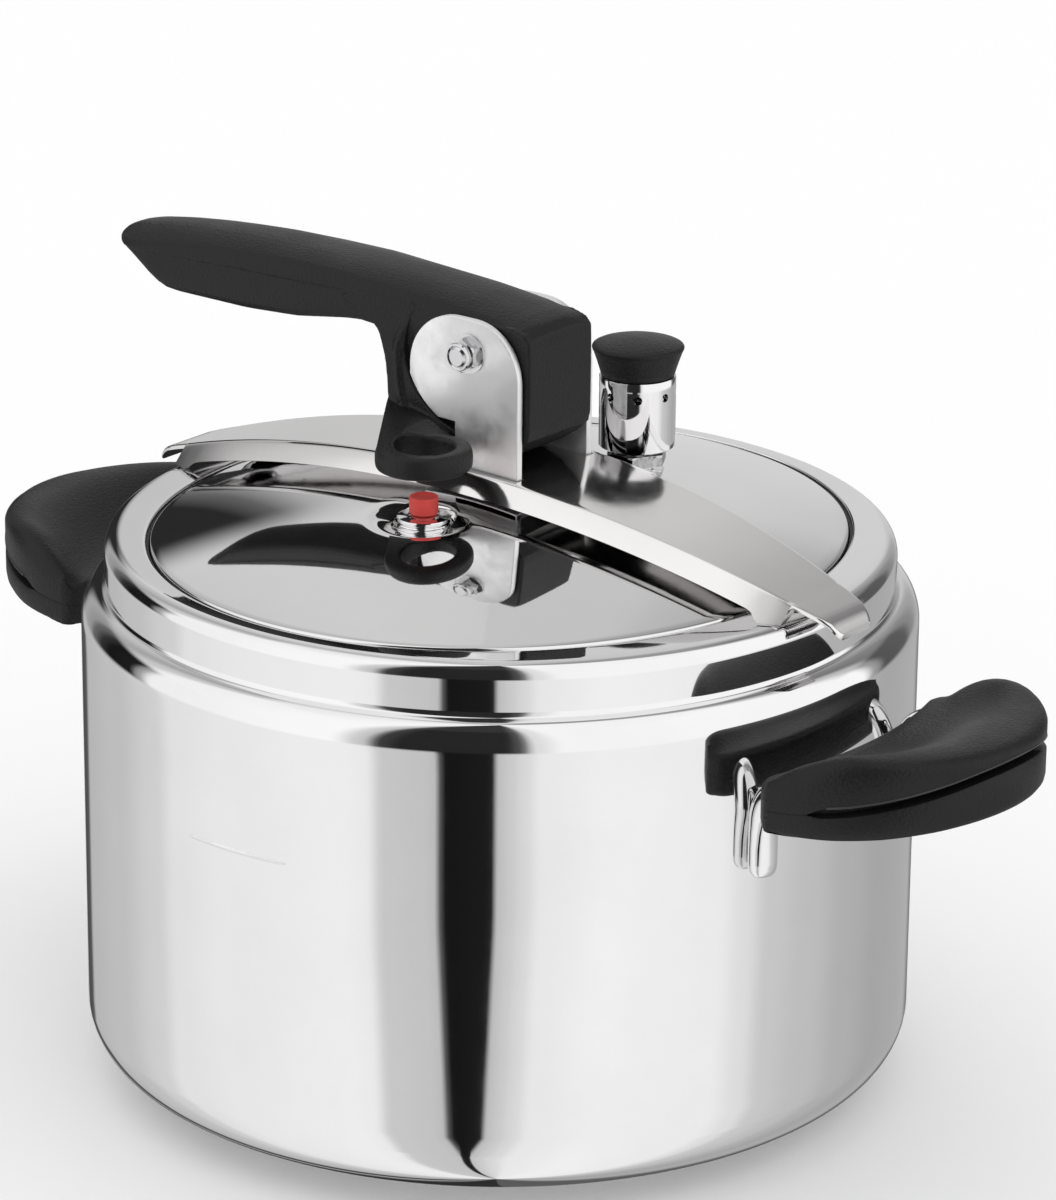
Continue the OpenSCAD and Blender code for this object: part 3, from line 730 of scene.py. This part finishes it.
def build_pivot():
    """The hinge: a collared nut in front, and the bolt through both ears with its head behind."""
    centre = (PIVOT.x, 0, PIVOT.z)
    face = -EAR_OUT - 0.6
    nut = hexagon("nut_hex", 4.62, face - 2.7, face, True)
    collar = [(3.05, face - 2.6), (3.75, face - 2.6), (3.75, face - 3.9)]
    collar += [(3.5, face - 4.3), (3.1, face - 4.35), (2.75, face - 4.1)]
    ring = lathe("nut_collar", collar, centre, 48, "Y", closed=True, sharp=30)
    nut = join("pivot_nut_hex", [nut, ring])
    shade(nut, 25)
    finish_piece(nut, "lid", TURNED, "machined_steel", "pivot_nut")

    front, back_end, r = face - 4.6, 16.2, 2.9
    shank = [(0, front), (2.2, front), (r, front + 0.7), (r, back_end), (0, back_end)]
    bolt = lathe("bolt_shank", shank, centre, 48, "Y")
    head = hexagon("bolt_head", 5.0, EAR_OUT + 0.6, EAR_OUT + 4.6, False)
    obj = join("pivot_bolt_whole", [bolt, head])
    shade(obj, 25)
    finish_piece(obj, "lid", TURNED, "machined_steel", "pivot_bolt")


# ---- lever

# Heights along the handle relative to LEVER_Z, by x: middle of the top, its side edge, the joint line
# on the side, the lower side edge and the middle of the underside; then half the width
LEVER_Z = 197.6
CROWN = [(-127.6, 8.3), (-126.5, 9.2), (-124, 10.3), (-120, 11.3), (-110, 12.8), (-100, 13.8), (-88, 14.7),
         (-76, 15.3), (-54, 15.3), (-31, 14.7), (-16, 13.9), (-4, 12.8), (6, 11.3), (14, 9.9), (17, 8.9),
         (19.2, 7.0)]
RIDGE = [(-127.6, 8.0), (-121.3, 7.9), (-116.2, 8.6), (-96.5, 11.2), (-79, 12.6), (-61.6, 13.3),
         (-44.6, 13.4), (-27.8, 12.4), (-9, 11.4), (5, 10.0), (15, 8.4), (19.2, 6.2)]
CREASE = [(-127.6, 7.8), (-119, 6.1), (-95.8, 7.0), (-78.2, 7.8), (-60.9, 8.2), (-43.8, 8.8), (-20, 8.4),
          (5, 7.2), (19.2, 4.8)]
EDGE = [(-127.6, 7.5), (-119, 5.2), (-112.8, 0.9), (-107.5, -2.2), (-104, -2.7), (-78.7, -2.7),
        (-61.3, -1.7), (-49.3, 0.2), (-39.1, 1.6), (-30, 0.6), (19.2, 0.0)]
UNDER = [(-127.6, 7.2), (-119, 1.6), (-112.8, -2.4), (-108.5, -4.4), (-104, -4.9), (-79, -4.8),
         (-62, -3.6), (-50, -1.7), (-44, -0.7), (-36, -0.4), (19.2, -0.4)]
HALF = [(-127.6, 1.2), (-127.2, 3.4), (-126.2, 6.2), (-124.4, 8.8), (-122, 10.9), (-119, 12.1),
        (-112, 12.7), (-100, 12.9), (-60, 13.0), (19.2, 12.9)]


def lever_section(x):
    """Points (y, z) of the handle's section: top, side edge, joint line, side and underside."""
    tables = (CROWN, RIDGE, CREASE, EDGE, UNDER, HALF)
    crown, ridge, crease, edge, under, half = (table_value(table, x) for table in tables)
    k = min(1.0, half / 9.0, (ridge - crease) / 1.5)
    lip = half - 1.3 * k
    right = [(lip * t, crown - (crown - ridge) * t**2.6) for t in (0.0, 0.2, 0.4, 0.6, 0.75, 0.87, 0.95)]
    right += [(lip, ridge), (half - 0.75 * k, ridge - 0.45 * k), (half - 0.45 * k, ridge - 1.3 * k)]
    right += [(half - 0.05, crease + 0.35 * k), (half - 0.05, crease + 0.1 * k)]
    right += [(half - 0.55 * k, crease - 0.1 * k), (half - 0.6 * k, crease - 0.5 * k)]
    right += [(half - 0.45 * k, lerp(crease, edge, 0.6)), (half - 0.75 * k, lerp(crease, edge, 0.88))]
    right += [(half - 1.8 * k, lerp(edge, under, 0.15)), (half * 0.68, lerp(edge, under, 0.6))]
    right += [(half * 0.4, lerp(edge, under, 0.9)), (0.0, under)]
    return right + [(-y, z) for y, z in right[1:-1]][::-1]


def build_handle():
    """The crowned handle as sections along X."""
    xs = [-127.6, -127.3, -126.8, -126, -125, -123.6, -122, -120.4]
    xs += [-118.8 + 3.2 * i for i in range(42)] + [15.4, 17, 18.2, 19.2]
    return rings("handle", [[(x, y, LEVER_Z + z) for y, z in lever_section(x)] for x in xs], sharp=None)


def build_cam_block():
    """The block between the ears, whose lower side presses on the bar."""
    left = [(-26, 206), (-30, 199), (-28.4, 197), (-26.2, 192)]
    left += [(-25.4, 184), (-24.2, 176), (-18, 170.8), (-8, 168.35)]
    side = spline(left, 4) + [(-3.0, 168.1), (4.0, 168.6), (10.0, 170.6), (15.0, 173.8), (18.6, 177.2)]
    side += [(19.2, 180), (19.3, 190), (19.3, 200), (19.0, 203.4), (17.4, 205.2), (13.0, 206.4)]
    return prism("block", side, -BLOCK_SIDE, BLOCK_SIDE, "Y")


def build_leg():
    """The leg beside the front ear: a web that ends round the ear, a tapering post and a rib."""
    left = [(-43, 204.6), (-36, 201.6), (-29.6, 198.6), (-26.6, 193.4), (-25.3, 184), (-25.0, 172.4)]
    left = spline(left, 4)
    web = left + [(-12, 170.6), (-4.5, 171.6), (-2.6, 176.0)]
    for degrees in range(256, 170, -6):
        a = radians(degrees)
        web.append((PIVOT.x + WEB_R * cos(a), PIVOT.z + WEB_R * sin(a)))
    web += [(-19.5, 207.0), (-36, 207.6)]
    plate = prism("web", web, -15.6, LEG_BACK, "Y")
    post = left + [(-20.6, 172.4), (-21.0, 182), (-21.8, 192), (-24.0, 200), (-30, 205.8), (-40, 206.2)]
    post = prism("post", post, -15.9, LEG_BACK, "Y")
    rib = [(-19.2, -13.0, 206.6), (-20.6, -14.3, 204.8), (-21.7, -15.0, 201.5), (-22.1, -15.3, 196)]
    rib += [(-21.6, -15.4, 188), (-20.2, -15.4, 181.5), (-17.2, -15.4, 176.6), (-13, -15.6, 173.8)]
    return [plate, post, tube("rib", spline(rib, 5), 1.35, 16)]


def build_leg_foot():
    """The leg's foot, hollowed round the red pin and the ear, and the ring it carries."""
    pts = []
    for x, top in ((-25.0, 181.0), (-13.0, 175.0)):
        for y in (-16.2, -12.0):
            for z in (172.0, top):
                pts.append((x, y, z))
    for k in range(24):
        a = 2 * pi * k / 24
        for z in (171.4, 177.0):
            pts.append((PIN.x - 1.0 + 11.3 * cos(a), PIN.y + 11.3 * sin(a), z))
    foot = hull(pts)
    cut(foot, lathe("hole", [(0, 150), (RING_HOLE_R, 150), (RING_HOLE_R, 200), (0, 200)], PIN, 64))
    round_ear = [(0, -30), (WEB_R, -30), (WEB_R, 0), (0, 0)]
    cut(foot, lathe("clear", round_ear, (PIVOT.x, 0, PIVOT.z), 96, "Y"))
    profile = [(RING_HOLE_R, 172.6), (8.3, 171.5), (11.4, 171.4), (12.3, 172.1), (12.5, 173.2)]
    profile += [(12.5, 175.4), (12.0, 176.9), (10.8, 177.4), (8.9, 177.4), (8.0, 176.9), (RING_HOLE_R, 176.0)]
    return [foot, lathe("ring", profile, PIN, 96, closed=True)]


def build_lever():
    """The lever's moulding: all its forms blended into one skin."""
    parts = [build_handle(), build_cam_block(), *build_leg(), *build_leg_foot()]
    lever = join("lever_moulding", parts)
    remesh = lever.modifiers.new("blend", "REMESH")
    remesh.mode = "VOXEL"
    remesh.voxel_size = 0.42 * MM
    remesh.use_smooth_shade = True
    relax = lever.modifiers.new("relax", "SMOOTH")
    relax.factor = 0.5
    relax.iterations = 2
    lever = join("lever_moulding", [lever])
    for v in lever.data.vertices:
        # the leg's raised face runs out into the flat side of the handle
        x, y, z = v.co / MM
        if y < -BLOCK_SIDE and z > 194 and x > -50:
            flat_y = -BLOCK_SIDE + (y + BLOCK_SIDE) * 0.06
            v.co.y = lerp(y, flat_y, smooth_step((z - 194.5) / 9.5)) * MM
    for p in lever.data.polygons:
        p.use_smooth = True
    return finish_piece(lever, "lever", BLACK, "black_plastic", "lever_body")


# ---- grips and bails

# Height of the joint between the halves, and of the lower half's floor, by distance x from the pot's axis
JOINT = [(112, 110.5), (117, 110.8), (122, 111.3), (127, 112.0), (131, 112.7), (138.5, 114.0),
         (144.5, 115.5), (150, 117.1), (154, 118.5), (157, 119.7), (159.5, 120.9), (162.2, 122.1)]
GRIP_FLOOR = [(110, 105.0), (122, 105.2), (135, 105.9), (146, 107.0), (155, 108.3), (162.2, 109.6)]


def grip_sections():
    """Direction, inner and outer radius of upright sections through a grip, fanned round the pot's axis."""
    mid = GRIP_OUT - GRIP_R
    # centre of the round corner that touches the inner face and the outer arc
    reach = GRIP_IN + GRIP_CORNER
    corner_x = (reach**2 - (GRIP_R - GRIP_CORNER) ** 2 + mid**2) / (2 * mid)
    corner_phi = acos(corner_x / reach)
    last_phi = corner_phi + asin(GRIP_CORNER / reach) * 0.998
    count = 64
    for i in range(-count, count + 1):
        phi = last_phi * sin(0.5 * pi * i / count)
        off = abs(phi) - corner_phi
        r_in = GRIP_IN
        r_out = mid * cos(phi) + sqrt(max(0.0, GRIP_R**2 - (mid * sin(phi)) ** 2))
        half = sqrt(max(0.0, GRIP_CORNER**2 - (reach * sin(off)) ** 2))
        if off > 0:
            r_in = reach * cos(off) - half
            if r_out < reach * cos(off) + half or r_out < r_in:
                r_out = reach * cos(off) + half
        yield phi, r_in, max(r_out, r_in + 0.1)


def grip_section(phi, r_in, r_out):
    """One upright section through both halves: two closed rings of points, upper and lower."""
    width = r_out - r_in
    full = smooth_step(width / 26)
    x_out = r_out * cos(phi)
    # the slot between the halves opens towards the outer side
    opened = smooth_step((x_out - 128.5) / 4)
    slot = min(4.0 * opened + 0.45, width * 0.3)
    lip_z = table_value(JOINT, x_out) + lerp(0.3, 1.5, opened)
    shelf_z = table_value(JOINT, x_out) - lerp(0.2, 1.0, opened)
    inner_z = lerp(116.2, 117.0, full)
    crest = lerp(118.2, 127.4, smooth_step((width - 4) / 28))
    crest_at = lerp(0.55, 0.80, full)
    last_z = max(lip_z + 2.2, lerp(116.4, 125.0, smooth_step((width - 4) / 32)))
    k = min(1.0, width / 8)

    def at(d, z):
        r = r_in + d
        return (r * cos(phi), r * sin(phi), z)

    def joint(d):
        return table_value(JOINT, (r_in + d) * cos(phi))

    # upper half: up the inner side, over the crest, down the outer side, back along the joint
    top = [at(0, joint(0) + JOINT_GAP), at(0, inner_z - 2.4), at(0.2 * k, inner_z - 1.2)]
    top += [at(0.7 * k, inner_z - 0.45), at(1.6 * k, inner_z)]
    start, end = 1.6 * k, width - 3.2 * k
    for j in range(1, 15):
        d = lerp(start, end, j / 14)
        f = d / width
        if f < crest_at:
            z = lerp(inner_z, crest, smooth_step((f - 0.12) / (crest_at - 0.12)))
        else:
            z = crest - (crest - last_z) * 0.42 * ((f - crest_at) / (1 - crest_at)) ** 2
        top.append(at(d, z))
    shoulder_z = top[-1][2]
    for d, f in ((1.9, 0.16), (0.9, 0.42), (0.3, 0.72), (0.0, 1.0)):
        top.append(at(width - d * k, lerp(shoulder_z, last_z - 0.6, f)))
    top += [at(width, lip_z + 0.5), at(width - 0.25 * k, lip_z), at(width - slot, lip_z)]
    top.append(at(width - slot, joint(width - slot) + JOINT_GAP))
    for j in range(1, 8):
        d = lerp(width - slot, 0, j / 8)
        top.append(at(d, joint(d) + JOINT_GAP))

    # lower half: out along the joint, down the outer side, back along the floor
    floor_z = table_value(GRIP_FLOOR, x_out)
    floor_in = table_value(GRIP_FLOOR, r_in * cos(phi))
    bottom = [at(0, joint(0) - JOINT_GAP)]
    for j in range(1, 8):
        d = lerp(0, width - slot, j / 8)
        bottom.append(at(d, joint(d) - JOINT_GAP))
    bottom += [at(width - slot, joint(width - slot) - JOINT_GAP), at(width - slot, shelf_z)]
    bottom += [at(width - 0.35 * k, shelf_z), at(width, shelf_z - 0.4)]
    for d, z in ((0.0, 3.0), (0.3, 1.6), (1.1, 0.5), (2.6, 0.05)):
        bottom.append(at(width - d * k, floor_z + z))
    for f in (0.8, 0.6, 0.4, 0.2):
        bottom.append(at(width * f, table_value(GRIP_FLOOR, (r_in + width * f) * cos(phi))))
    for d, z in ((1.8, 0.1), (0.6, 0.7), (0.0, 2.2)):
        bottom.append(at(d * k, floor_in + z))
    return top, bottom


def turn_to_left(obj):
    """Turns a piece built for the right side half round to the left."""
    for v in obj.data.vertices:
        v.co.x, v.co.y = -v.co.x, -v.co.y


def build_grip(side):
    """Both halves of a grip and the glossy lip between them, a strip coloured lighter than the grip as a
    painted highlight; side is 1 for right, -1 for left.
    """
    suffix = "right" if side > 0 else "left"
    upper, lower = zip(*(grip_section(*section) for section in grip_sections()))
    for part, loops in (("upper", upper), ("lower", lower)):
        obj = rings(f"grip_{part}_shell_{suffix}", loops, sharp=42)
        if side < 0:
            turn_to_left(obj)
        finish_piece(obj, "pot", BLACK, "black_plastic", f"grip_{part}_{suffix}")
    # the glossy lower lip of the upper half, along the slot; its lighter colour than the black grip is a
    # painted highlight
    lip = []
    for phi, _, r_out in grip_sections():
        x_out = r_out * cos(phi)
        if x_out > 133:
            r = r_out - 0.22
            z = table_value(JOINT, x_out) + 1.75
            lip.append((side * r * cos(phi), side * r * sin(phi), z))
    obj = tube(f"grip_lip_highlight_{suffix}", lip, 0.33, 12)
    finish_piece(obj, "pot", LIP_HIGHLIGHT, "black_plastic")


def build_bail(side):
    """A bail: two legs on the wall, bent outwards and joined by a cross bar inside the grip."""
    phi = radians(16)
    r = 3.7
    lx, ly = (POT_R + r - 0.2) * cos(phi), (POT_R + r - 0.2) * sin(phi)
    bend_z = 103
    path = [(lx, -ly, z) for z in (88.0, 88.3, 89.0, 90.2, 92, 96, 100, bend_z)]
    for i in range(1, 13):
        a = radians(180 - 90 * i / 12)
        path.append((lx + 8.2 + 8.2 * cos(a), -ly, bend_z + 9.2 * sin(a)))
    path += [(126, -ly, 112.7), (132, -ly * 0.96, 113.2), (135.5, -ly * 0.75, 113.4), (136, 0, 113.4)]
    full = path + [(x, -y, z) for x, y, z in path[:-1]][::-1]
    # the wire's ends are rounded off
    end = {0: 1.6, 1: 2.6, 2: 3.3, 3: 3.62}
    bail = tube("bail", full, lambda i: end.get(min(i, len(full) - 1 - i), r), 28)
    flat_top = (bend_z + 0.5) * MM
    for v in bail.data.vertices:
        # the legs are pressed a little flat against the wall
        x, y, z = v.co
        if z < flat_top:
            leg = copysign(1, y)
            radial = Vector((cos(phi), leg * sin(phi), 0))
            tangent = Vector((-leg * sin(phi), cos(phi), 0))
            centre = Vector((lx, leg * ly, 0)) * MM
            d = Vector((x, y, 0)) - centre
            flat = smooth_step((flat_top - z) / (6 * MM))
            out = d.dot(radial) * (1 - 0.16 * flat)
            along = d.dot(tangent) * (1 + 0.10 * flat)
            p = centre + radial * out + tangent * along
            v.co.x, v.co.y = p.x, p.y
    if side < 0:
        turn_to_left(bail)
    suffix = "right" if side > 0 else "left"
    bail.name = f"bail_wire_{suffix}"
    finish_piece(bail, "pot", POLISHED, "polished_steel", f"bail_{suffix}")


# ---- operating valve


def build_valve():
    """The operating valve: sleeve with eight vent holes, black knob, and the nozzle on the lid."""
    top, sleeve_low = high("valve_sleeve")[2], low("valve_sleeve")[2]
    r, inside, hole_r = 10.1, 8.9, 2.6
    near_vents = [VENT_Z + d for d in (-1.7, -1.2, -0.7, 0.0, 0.7, 1.2, 1.7)]
    profile = [(inside, sleeve_low + 0.1), (inside + 0.3, sleeve_low), (r - 0.35, sleeve_low)]
    profile += [(r, sleeve_low + 0.35)] + [(r, z) for z in near_vents]
    profile += [(r, top - 0.4), (r - 0.2, top - 0.1), (r - 0.6, top), (hole_r, top)]
    profile += [(hole_r, top - 1.6), (inside, top - 1.6)] + [(inside, z) for z in near_vents[::-1]]
    sleeve = lathe("valve_sleeve_tube", profile, VALVE, 128, closed=True, sharp=40)
    vent_centre = Matrix.Translation(Vector((VALVE.x, VALVE.y, VENT_Z)) * MM)
    for k in range(8):
        a = radians(45 * k - 52)
        drill = lathe("drill", [(0, 5), (1.15, 5), (1.15, 12), (0, 12)], (0, 0, 0), 20, "Y")
        drill.data.transform(vent_centre @ Matrix.Rotation(a - pi / 2, 4, "Z"))
        cut(sleeve, drill)
    shade(sleeve, 35)
    finish_piece(sleeve, "valve", POLISHED, "polished_steel", "valve_sleeve")

    k = top + 0.02
    profile = [(0, 0), (9.3, 0), (9.75, 0.3), (10.25, 2), (10.95, 4.2), (11.7, 6.3), (12.1, 7.1)]
    profile += [(12.15, 7.5), (11.9, 7.9), (11.2, 8.25), (9.6, 8.75), (7, 9.3), (3.8, 9.75), (0, 9.95)]
    knob = lathe("valve_knob_cap", [(r, k + h) for r, h in profile], VALVE, 96, sharp=60)
    finish_piece(knob, "valve", BLACK, "black_plastic", "valve_knob")

    foot_z, foot_r = 157.4, 8.4
    loops = []
    for z, limit in ((foot_z, 1.0), (foot_z + 2.7, 1.0), (foot_z + 3.2, 0.93)):
        loop = []
        for i in range(72):
            a = 2 * pi * i / 72
            rr = hex_radius(foot_r, a, limit)
            loop.append((VALVE.x + rr * cos(a), VALVE.y + rr * sin(a), z))
        loops.append(loop)
    hex_foot = rings("hex_foot", loops, sharp=25)
    bore, r, neck_r = 1.55, 5.45, 5.1
    profile = [(bore, foot_z), (r, foot_z), (r, 161.2), (neck_r, 161.6), (neck_r, 162.4), (r, 162.8)]
    profile += [(r, 170.4), (4.9, 171), (bore, 171)]
    nozzle = lathe("nozzle", profile, VALVE, 72, closed=True)
    finish_piece(join("valve_nozzle", [hex_foot, nozzle]), "lid", POLISHED, "machined_steel")


# ---- build everything

build_pot()
build_wall_mark()
build_base()
build_lid()
build_pin()
build_bar()
build_stirrup()
build_pivot()
build_lever()
for side in (1, -1):
    build_grip(side)
    build_bail(side)
build_valve()

# CAD pieces that stay as they are and only get a material
kept = {
    ALUMINIUM: ["base_core"],
    BUSH: ["lever_bush"],
    RUBBER: ["lid_gasket", "stirrup_seal", "pin_seal", "valve_seal", "pin_ring"],
    TURNED: ["grip_screws_right", "grip_screws_left", "stirrup_bolt", "stirrup_nut", "pivot_washers",
             "pin_nut", "valve_seat", "valve_nut", "valve_needle", "valve_spring"],
}
for material, nodes in kept.items():
    for node in nodes:
        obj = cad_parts[node]
        obj.data.materials.clear()
        obj.data.materials.append(material)


# ---- floor and camera

# the floor lies just under the base, takes the shadow, and isn't mirrored by the steel
FLOOR_HALF = 4000
floor_mat = new_material("floor", Roughness=0.9, Base_Color=(0.93, 0.93, 0.93, 1))[0]
corners = [(x * FLOOR_HALF, y * FLOOR_HALF, 0) for x, y in ((-1, -1), (1, -1), (1, 1), (-1, 1))]
floor = make("floor", corners, [(0, 1, 2, 3)], smooth=False)
floor.data.materials.append(floor_mat)
floor.location.z = -0.0002
floor.visible_glossy = False

# camera fitted to the photo; the angles go round from the front, up from the horizon and about the view
AZIMUTH, ELEVATION, ROLL = radians(38.33), radians(19.54), 0.0087
TARGET = Vector((5.652, 4.468, 127.3)) * MM
DISTANCE = 1.4
level = cos(ELEVATION)
back = Vector((sin(AZIMUTH) * level, -cos(AZIMUTH) * level, sin(ELEVATION)))
flat_right = Vector((cos(AZIMUTH), sin(AZIMUTH), 0))
up = back.cross(flat_right)
right = flat_right * cos(ROLL) + up * sin(ROLL)
up = up * cos(ROLL) - flat_right * sin(ROLL)
camera = bpy.data.objects.new("camera", bpy.data.cameras.new("camera"))
scene.collection.objects.link(camera)
camera.data.lens = 160.94
camera.data.sensor_width = 36.0
turned = Matrix((right, up, back)).transposed().to_4x4()
camera.matrix_world = Matrix.Translation(TARGET + back * DISTANCE) @ turned
scene.camera = camera

# ---- what the steel mirrors

# brightness of the polished steel, taken out of the greys below
STEEL_TINT = 0.86
# the dark gap in front: its middle in degrees, how fast its two sides are told apart, the depth in degrees
# below the horizon from which it narrows, how fast, and by how many degrees at most
GAP_CENTRE = -8.3
GAP_SIDE_GAIN = 240
GAP_FULL_BELOW = 23
GAP_NARROWING = 0.6
GAP_MOST = 8
# (direction, grey) of the studio's bands: degrees round the object, 0 towards the camera, and greys
# 0-255 as seen in the steel. The low band shows in upright walls, the middle one at the shoulder's
# sides, the high one in the lid, the bar and the front of the shoulder, and the top one overhead
LOW_BAND = [(-180, 45), (-175, 90), (-172, 175), (-168, 70), (-160, 80), (-155, 178), (-129, 190),
            (-108, 208), (-99, 226), (-80, 233), (-42, 239), (-36, 236), (-31, 200), (-20, 196),
            (-16.6, 190), (-15.1, 22), (-1.5, 27), (0, 190), (3, 202), (7, 216), (12, 234), (30, 241),
            (62, 237), (72, 222), (80, 200), (95, 190), (112, 175), (130, 165), (160, 168), (168, 130),
            (174, 90)]
FRONT = [(-45, 250), (-36, 200), (-31, 60), (-25, 37), (2, 38), (6, 80), (10, 221), (18, 246)]
MID_BAND = [(-180, 200), (-173, 190), (-169, 40), (-158, 40), (-152, 160), (-144, 146), (-139, 97),
            (-132, 45), (-127, 22), (-115, 28), (-111, 150), (-105, 240), *FRONT, (112, 248), (119, 150),
            (125, 84), (139, 90), (147, 135), (156, 160), (164, 195), (172, 206)]
HIGH_BAND = [(-180, 204), (-176, 206), (-168, 208), (-155, 190), (-135, 165), (-120, 200), (-108, 242),
             *FRONT, (105, 248), (118, 190), (128, 120), (142, 130), (150, 150), (158, 163), (162, 172),
             (166, 186), (170, 198)]
TOP_BAND = [(-180, 196), (-150, 180), (-110, 236), (-45, 248), (-36, 200), (-31, 70), (-25, 52), (2, 52),
            (6, 90), (10, 221), (18, 246), (105, 244), (125, 150), (150, 150), (180, 196)]


def build_world():
    """White studio round the object; only the steel sees its bright walls and dark gaps."""
    world = bpy.data.worlds.new("studio")
    scene.world = world
    world.use_nodes = True
    tree = world.node_tree
    tree.nodes.clear()
    view = add_node(tree, "TexCoord").outputs["Generated"]

    def calculate(op, *values, kind="Math"):
        node = tree.nodes.new("ShaderNode" + kind)
        node.operation = op
        for socket, v in zip(node.inputs, values):
            if isinstance(v, bpy.types.NodeSocket):
                tree.links.new(v, socket)
            else:
                socket.default_value = v
        return node.outputs["Value"]

    def dot(direction):
        return calculate("DOT_PRODUCT", view, direction, kind="VectorMath")

    def held(value, lo, hi):
        return calculate("MINIMUM", calculate("MAXIMUM", value, lo), hi)

    # the ray's turn round the object and its height, both from 0 to 1
    across = hypot(back.x, back.y)
    turn = calculate("ARCTAN2", dot(tuple(flat_right)), dot((back.x / across, back.y / across, 0)))
    turn = calculate("ADD", calculate("DIVIDE", turn, 2 * pi), 0.5)
    height = calculate("ADD", calculate("DIVIDE", calculate("ARCSINE", dot((0, 0, 1))), pi), 0.5)
    # the dark gap in front of the pot narrows towards the ground
    side = calculate("MULTIPLY", calculate("SUBTRACT", turn, 0.5 + GAP_CENTRE / 360), GAP_SIDE_GAIN)
    depth = calculate("MULTIPLY", calculate("SUBTRACT", 0.5 - GAP_FULL_BELOW / 180, height), GAP_NARROWING)
    shift = calculate("MULTIPLY", held(side, -1.0, 1.0), held(depth, 0.0, GAP_MOST / 360))
    low_turn = calculate("ADD", turn, shift)

    def ramp(value, stops):
        """Colour ramp through (position, grey) stops; greys are 0-255 as seen in the polished steel."""
        node = add_node(tree, "ValToRGB", Fac=value)
        node.color_ramp.interpolation = "EASE"
        elements = node.color_ramp.elements
        while len(elements) > 1:
            elements.remove(elements[-1])
        for i, (pos, grey) in enumerate(stops):
            e = elements[0] if i == 0 else elements.new(pos)
            e.position = pos
            seen = 0 < grey < 255
            light = ((grey / 255 + 0.055) / 1.055) ** 2.4 / STEEL_TINT if seen else grey / 255
            e.color = (light, light, light, 1)
        return node.outputs["Color"]

    def band(value, stops):
        return ramp(value, [((degrees + 180) / 360, grey) for degrees, grey in stops])

    # each band goes over into the next between two elevations in degrees
    over = band(low_turn, LOW_BAND)
    for stops, start, end in ((MID_BAND, -14, -7), (HIGH_BAND, 18, 26), (TOP_BAND, 55, 61)):
        factor = ramp(height, [(0.0, 0), ((start + 90) / 180, 0), ((end + 90) / 180, 255), (1.0, 255)])
        over = mix_colour(tree, factor, over, band(turn, stops))
    glossy = add_node(tree, "Background", Color=over, Strength=1.0)
    plain = add_node(tree, "Background", Color=(1, 1, 1, 1), Strength=1.08)
    choose = add_node(tree, "MixShader", Fac=add_node(tree, "LightPath").outputs["Is Glossy Ray"])
    tree.links.new(plain.outputs["Background"], choose.inputs[1])
    tree.links.new(glossy.outputs["Background"], choose.inputs[2])
    add_node(tree, "OutputWorld", Surface=choose.outputs["Shader"])


build_world()

scene.view_settings.view_transform = "Standard"
scene.view_settings.look = "None"
